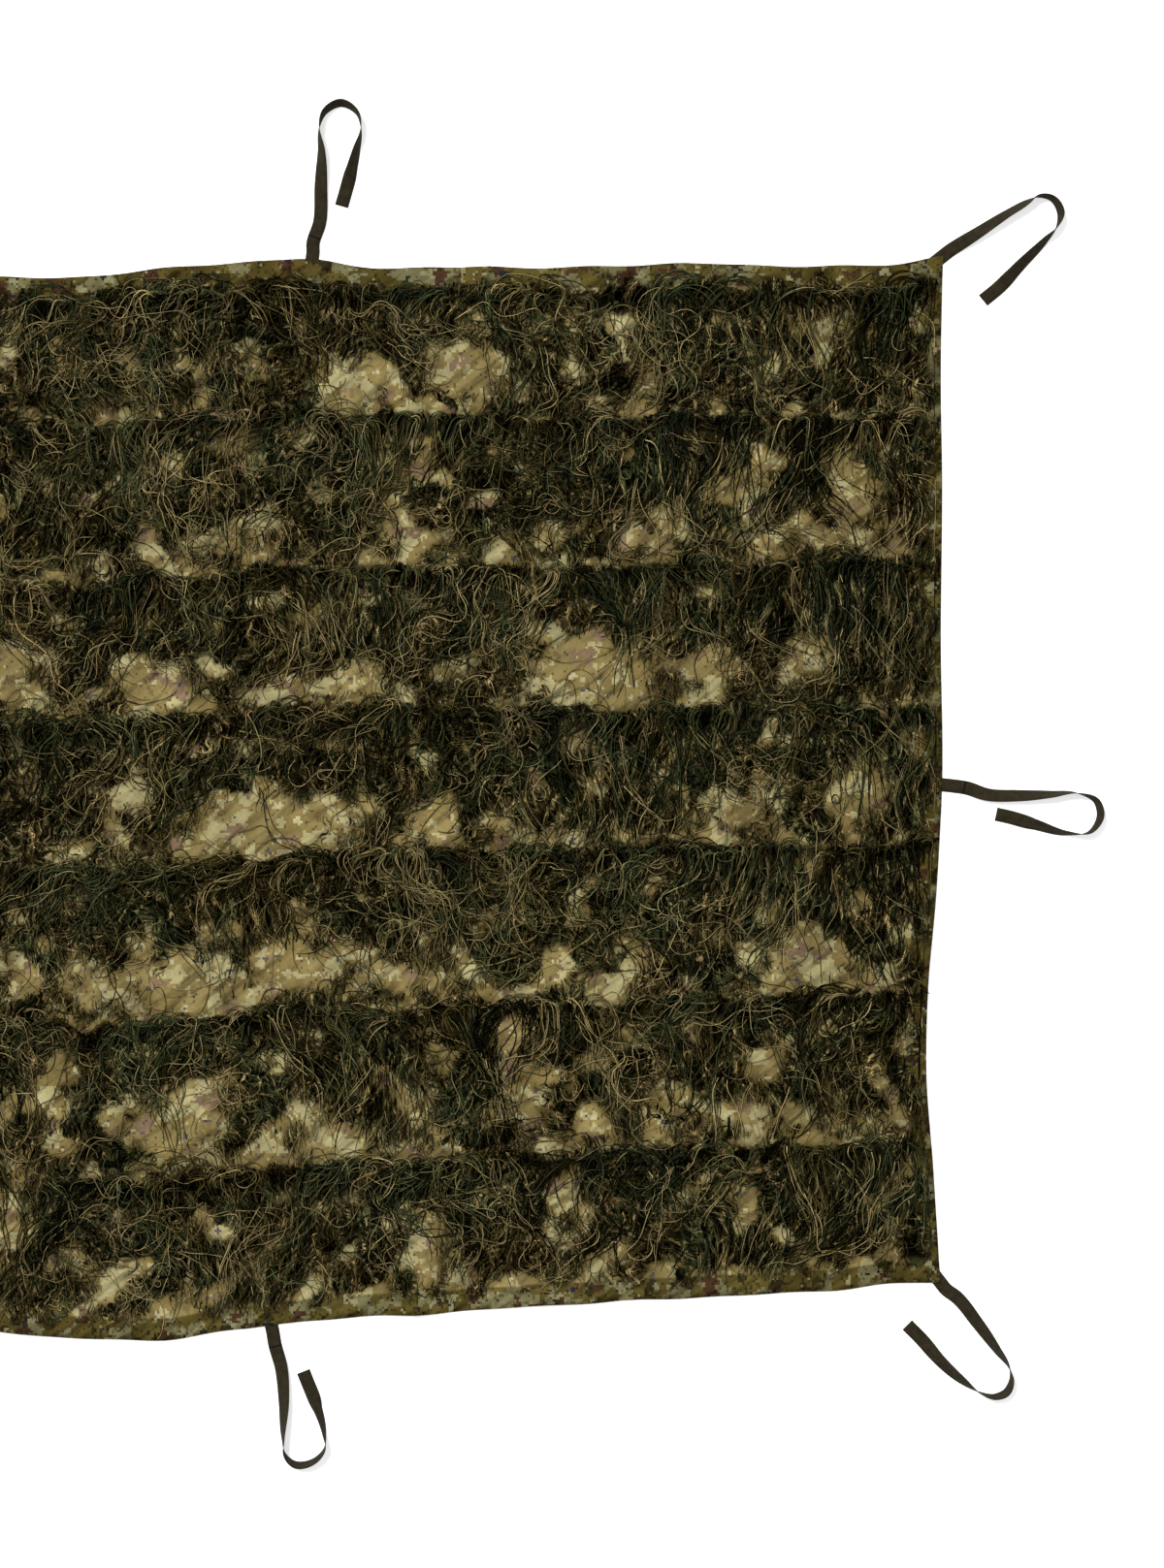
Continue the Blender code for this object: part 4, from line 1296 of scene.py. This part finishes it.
def cloth_material():
    """Sheer printed cloth in a pixelled pattern of its own, darker where the hem doubles it, with
    painted shade where the yarn lies over it.
    """
    nodes = Nodes("sheer_print")

    def pixels(shift):
        moved = nodes.vectors("ADD", nodes.place, (shift, shift * 0.7, 0.0))
        flat = nodes.vectors("MULTIPLY", moved, FLAT)
        return nodes.vectors("SNAP", flat, (PRINT_PIXEL, PRINT_PIXEL, 1.0))

    hem = nodes.attribute("hem")
    streaks = nodes.noise(nodes.slanted(nodes.place, 0.6, 9, 30), 1.0, 3)
    single, doubled = (
        nodes.ramp(streaks, ((0.38, darker), (0.62, lighter))) for darker, lighter in PRINT_GROUND
    )
    ground = nodes.mix(hem, single, doubled)
    for shift, scale, level, on_single, on_hem in PRINT_LAYERS:
        field = nodes.noise(pixels(shift), scale, 3, 0.58)
        field = nodes.maths("MULTIPLY_ADD", hem, 0.008, field)
        colour = nodes.mix(hem, (*on_single, 1), (*on_hem, 1))
        ground = nodes.mix(nodes.maths("GREATER_THAN", field, level), ground, colour)
    grain = nodes.add("TexWhiteNoise", {"Vector": pixels(0.0)}, noise_dimensions="2D").outputs["Value"]
    speck_share = nodes.maths("MULTIPLY_ADD", hem, SPECK_SHARE[1] - SPECK_SHARE[0], SPECK_SHARE[0])
    speck = nodes.maths("LESS_THAN", grain, speck_share)
    ground = nodes.times(ground, (0.55, 0.52, 0.50, 1), speck)
    ground = nodes.times(ground, nodes.greys(grain, (0.0, 0.75), (1.0, 1.25)), 0.35)
    cloudy = nodes.greys(nodes.noise(nodes.place, 14, 3), (0.32, 0.70), (0.68, 1.15))
    ground = nodes.times(ground, cloudy)
    # Painted shade: the cloth darker where the yarn lies over it and towards the side edges.
    ground = nodes.times(ground, (0.40, 0.38, 0.30, 1), nodes.attribute("shaded"))
    nodes.surface(ground, roughness=0.9, specular=0.05)
    scaled = {"Vector": nodes.place, "Scale": CLOTH_WEAVE_SCALE}
    warp, weft = (nodes.add("TexWave", scaled, bands_direction=way).outputs["Fac"] for way in "XY")
    weave = nodes.maths("MULTIPLY", warp, weft)
    wrinkle = nodes.noise(nodes.slanted(nodes.place, 0.65, 11, 46), 1.0, 1.5, 0.4)
    fine, coarse = nodes.maths("MULTIPLY", weave, 0.06), nodes.maths("MULTIPLY", wrinkle, 11.0)
    nodes.bump(nodes.maths("ADD", fine, coarse), distance=1.8 * MM)
    return nodes.material


def yarn_material():
    """Matt fuzzy yarn, each strand in its own shade, with lighter and darker stretches along it: partly
    its own uneven colour, partly painted highlights and shade.
    """
    nodes = Nodes("fuzzy_yarn")
    shade = nodes.attribute("shade", "Color")
    along = nodes.attribute("along")
    # Lighter and darker stretches along each strand: partly its own uneven colour, partly painted
    # highlights and shade.
    stretch = nodes.noise(nodes.add("CombineXYZ", {"X": along}).outputs[0], 42, 2)
    tone = nodes.greys(stretch, (0.32, 0.35), (0.66, 1.65))
    mixed = nodes.times(shade, tone)
    fuzz = nodes.noise(nodes.place, 900, 2, 0.6)
    mixed = nodes.times(mixed, nodes.greys(fuzz, (0.35, 0.55), (0.65, 1.3)), 0.6)
    nodes.surface(mixed, roughness=1.0, specular=0.03)
    ply = nodes.ripples(along, PLY_PITCH)
    height = nodes.maths("ADD", fuzz, nodes.maths("MULTIPLY", ply, 0.35))
    nodes.bump(height, distance=0.35 * MM, strength=0.8)
    return nodes.material


def mat_material():
    """The yarn deep in the tangle: wavering strands that cross, and fewer of them towards its rim, over
    a near-black ground that is partly painted shade, with painted shade and light across strands,
    between locks, in clouds and under the head.
    """
    nodes = Nodes("deep_yarn")
    flat = nodes.vectors("MULTIPLY", nodes.place, FLAT)
    zone = nodes.greys(nodes.noise(flat, 14, 3), (0.44, 0.0), (0.64, 1.0))
    reach = nodes.maths("MULTIPLY", nodes.attribute("unrest"), STRAND_WANDER)

    def wavering(turn, shift, winding):
        """The way across and along strands that wander aside, in a layer turned and moved."""
        inputs = {"Vector": flat, "Rotation": (0, 0, turn), "Location": (shift, 0, 0)}
        turned = nodes.add("Mapping", inputs).outputs[0]
        spot = nodes.add("SeparateXYZ", {"Vector": turned}).outputs
        return nodes.maths("MULTIPLY_ADD", nodes.noise(turned, winding, 2), reach, spot["X"]), spot["Y"]

    def streaks(aside, along, fine, long, detail=1.0, roughness=0.5):
        """Streaks along the strands, so fine across and so long."""
        inputs = {"X": nodes.maths("MULTIPLY", aside, fine), "Y": nodes.maths("MULTIPLY", along, long)}
        where = nodes.add("CombineXYZ", inputs).outputs[0]
        return nodes.noise(where, 1.0, detail, roughness)

    # Near-black ground: partly the dark yarn, partly painted shade deep in the tangle.
    ground = nodes.ramp(nodes.noise(flat, 60, 2), MAT_GROUND)
    top = 0.0
    for turn, shift, level in MAT_LAYERS:
        aside, along = wavering(turn, shift, winding=19)
        strand = streaks(aside, along, fine=470.0, long=12.0)
        mask = nodes.fade(strand, level, level + 0.025)
        # Painted shading across each drawn strand: lighter in its middle, darker at its edges.
        rounded = nodes.greys(strand, (level, 0.25), (level + 0.10, 1.35))
        tone = streaks(aside, along, fine=150.0, long=14.0)
        drawn = nodes.mix(zone, nodes.ramp(tone, BROWN_RAMP), nodes.ramp(tone, GREEN_RAMP))
        ground = nodes.mix(mask, ground, nodes.times(drawn, rounded))
        top = nodes.maths("MAXIMUM", nodes.maths("MULTIPLY", top, 0.8), mask)
    # Painted shadow right under the arches of the head.
    ground = nodes.times(ground, (0.4, 0.4, 0.4, 1), nodes.attribute("deep"))
    # Painted shade: darker clouds over the tangle, where deep shadow falls among its clumps.
    cloudy = nodes.greys(nodes.noise(flat, 26, 3), (0.34, 0.45), (0.64, 1.15))
    locks = 0.0
    for turn, shift in LOCK_LAYERS:
        aside, along = wavering(turn, shift, winding=21)
        lock = streaks(aside, along, fine=120.0, long=14.0, detail=1.5, roughness=0.6)
        locks = nodes.maths("MAXIMUM", locks, lock)
    # Painted shade in the gaps between the locks and painted light on their tops.
    depth = nodes.greys(locks, (0.46, 0.10), (0.53, 0.55), (0.66, 1.7))
    ground = nodes.times(nodes.times(ground, cloudy), depth)
    nodes.surface(ground, roughness=1.0, specular=0.0)
    nodes.bump(nodes.maths("MULTIPLY_ADD", locks, 5.0, top), distance=1.6 * MM, strength=0.9)
    solid = nodes.attribute("solid")
    shown = nodes.maths("MULTIPLY_ADD", top, 0.95, solid)
    nodes.give(nodes.shader.inputs["Alpha"], nodes.fade(shown, *RIM_FADE))
    return nodes.material


def webbing_material():
    """Dark woven tape: a close rib across, faint chevrons along, lighter worn edges, painted shade in a
    crease.
    """
    nodes = Nodes("dark_webbing")
    along = nodes.attribute("along")
    across = nodes.attribute("across")
    rib = nodes.ripples(along, RIB_PITCH)
    slant = nodes.maths("ADD", nodes.maths("PINGPONG", across, CHEVRON_WIDTH), along)
    twill = nodes.ripples(slant, TWILL_PITCH)
    height = nodes.maths("ADD", nodes.maths("MULTIPLY", rib, 0.4), nodes.maths("MULTIPLY", twill, 0.6))
    cloudy = nodes.noise(nodes.place, 120, 3)
    edge = nodes.maths("GREATER_THAN", nodes.maths("ABSOLUTE", across), WORN_EDGE_FROM)
    base = nodes.ramp(cloudy, ((0.3, (0.020, 0.0155, 0.0078)), (0.7, (0.034, 0.027, 0.0140))))
    base = nodes.mix(nodes.maths("MULTIPLY", edge, 0.35), base, (0.050, 0.041, 0.020, 1))
    lit = nodes.greys(nodes.maths("MULTIPLY_ADD", height, 0.5, 0.5), (0.0, 0.7), (1.0, 1.2))
    base = nodes.times(base, lit, 0.7)
    # Painted shade in the crease: a near-black line across the tape.
    crease = nodes.maths("COMPARE", along, TIE_IN_HEM + CREASE_OUT, CREASE_HALF_WIDTH)
    crease = nodes.maths("MULTIPLY", crease, nodes.attribute("creased"))
    base = nodes.mix(crease, base, (0.006, 0.005, 0.0025, 1))
    nodes.surface(base, roughness=0.8, specular=0.08)
    nodes.bump(height, distance=0.25 * MM, strength=0.8)
    return nodes.material


def thread_material():
    nodes = Nodes("hem_thread")
    stops = ((0.3, (0.05, 0.045, 0.02)), (0.7, (0.1, 0.09, 0.045)))
    nodes.surface(nodes.ramp(nodes.noise(nodes.place, 400, 2), stops), roughness=0.7)
    return nodes.material


def floor_material():
    nodes = Nodes("pale_floor")
    colour = nodes.greys(nodes.noise(nodes.place, 3, 2), (0.0, 0.90), (1.0, 0.93))
    nodes.surface(colour, roughness=0.9)
    # The floor glows a little: painted light that washes out the shadows cast on it.
    nodes.shader.inputs["Emission Color"].default_value = (1.0, 1.0, 1.0, 1)
    nodes.shader.inputs["Emission Strength"].default_value = FLOOR_GLOW
    return nodes.material


# ---------------------------------------------------------------- stage

PHOTO_WIDTH, PHOTO_HEIGHT = 1200, 1617
METRES_PER_PIXEL = 1.42 * MM
PHOTO_ORIGIN = (300, 817)  # the pixel that shows the frame's origin
CAMERA_HEIGHT = 6.0
SENSOR = 36.0
FLOOR_SIZE = 24
FLOOR_BELOW = 0.4 * MM
# The floor's glow: painted light that washes out the shadows cast on it.
FLOOR_GLOW = 0.56
BACKDROP_STRENGTH = 0.42
KEY_ENERGY = 3.6
KEY_SOFTNESS = 16  # degrees across
KEY_TILT = (-26, -24, 0)  # degrees


def make_camera():
    camera = bpy.data.cameras.new("camera")
    camera.sensor_width = SENSOR
    camera.lens = SENSOR * CAMERA_HEIGHT / (PHOTO_HEIGHT * METRES_PER_PIXEL)
    holder = placed("camera", camera)
    x = (PHOTO_WIDTH / 2 - PHOTO_ORIGIN[0]) * METRES_PER_PIXEL
    y = (PHOTO_ORIGIN[1] - PHOTO_HEIGHT / 2) * METRES_PER_PIXEL
    holder.location = (x, y, CAMERA_HEIGHT)
    bpy.context.scene.camera = holder


def make_floor():
    bpy.ops.mesh.primitive_plane_add(size=FLOOR_SIZE, location=(0, 0, -FLOOR_BELOW))
    floor = bpy.context.active_object
    floor.name = "floor"
    floor.data.materials.append(floor_material())


def make_lights():
    world = bpy.data.worlds.new("studio")
    world.use_nodes = True
    backdrop = world.node_tree.nodes["Background"]
    backdrop.inputs["Color"].default_value = (1.0, 1.0, 1.0, 1)
    backdrop.inputs["Strength"].default_value = BACKDROP_STRENGTH
    bpy.context.scene.world = world
    key = bpy.data.lights.new("key", "SUN")
    key.energy = KEY_ENERGY
    key.angle = math.radians(KEY_SOFTNESS)
    placed("key", key).rotation_euler = [math.radians(turn) for turn in KEY_TILT]
    bpy.context.scene.view_settings.view_transform = "Standard"


def main():
    lift = LiftMap()
    yarns = [YarnRow(row, np.random.default_rng(SEED + row)) for row in range(len(ROW_LINES))]
    cloth = make_cloth(lift, yarns, cloth_material())
    loose, matted = yarn_material(), mat_material()
    rows = [piece for yarn in yarns for piece in make_row(yarn, lift, loose, matted)]
    seam = make_hem_stitches(lift, thread_material())
    webbing = webbing_material()
    for name, (root, route) in tie_tables().items():
        make_tie(name, root, route, webbing)
    make_floor()
    make_lights()
    make_camera()


main()
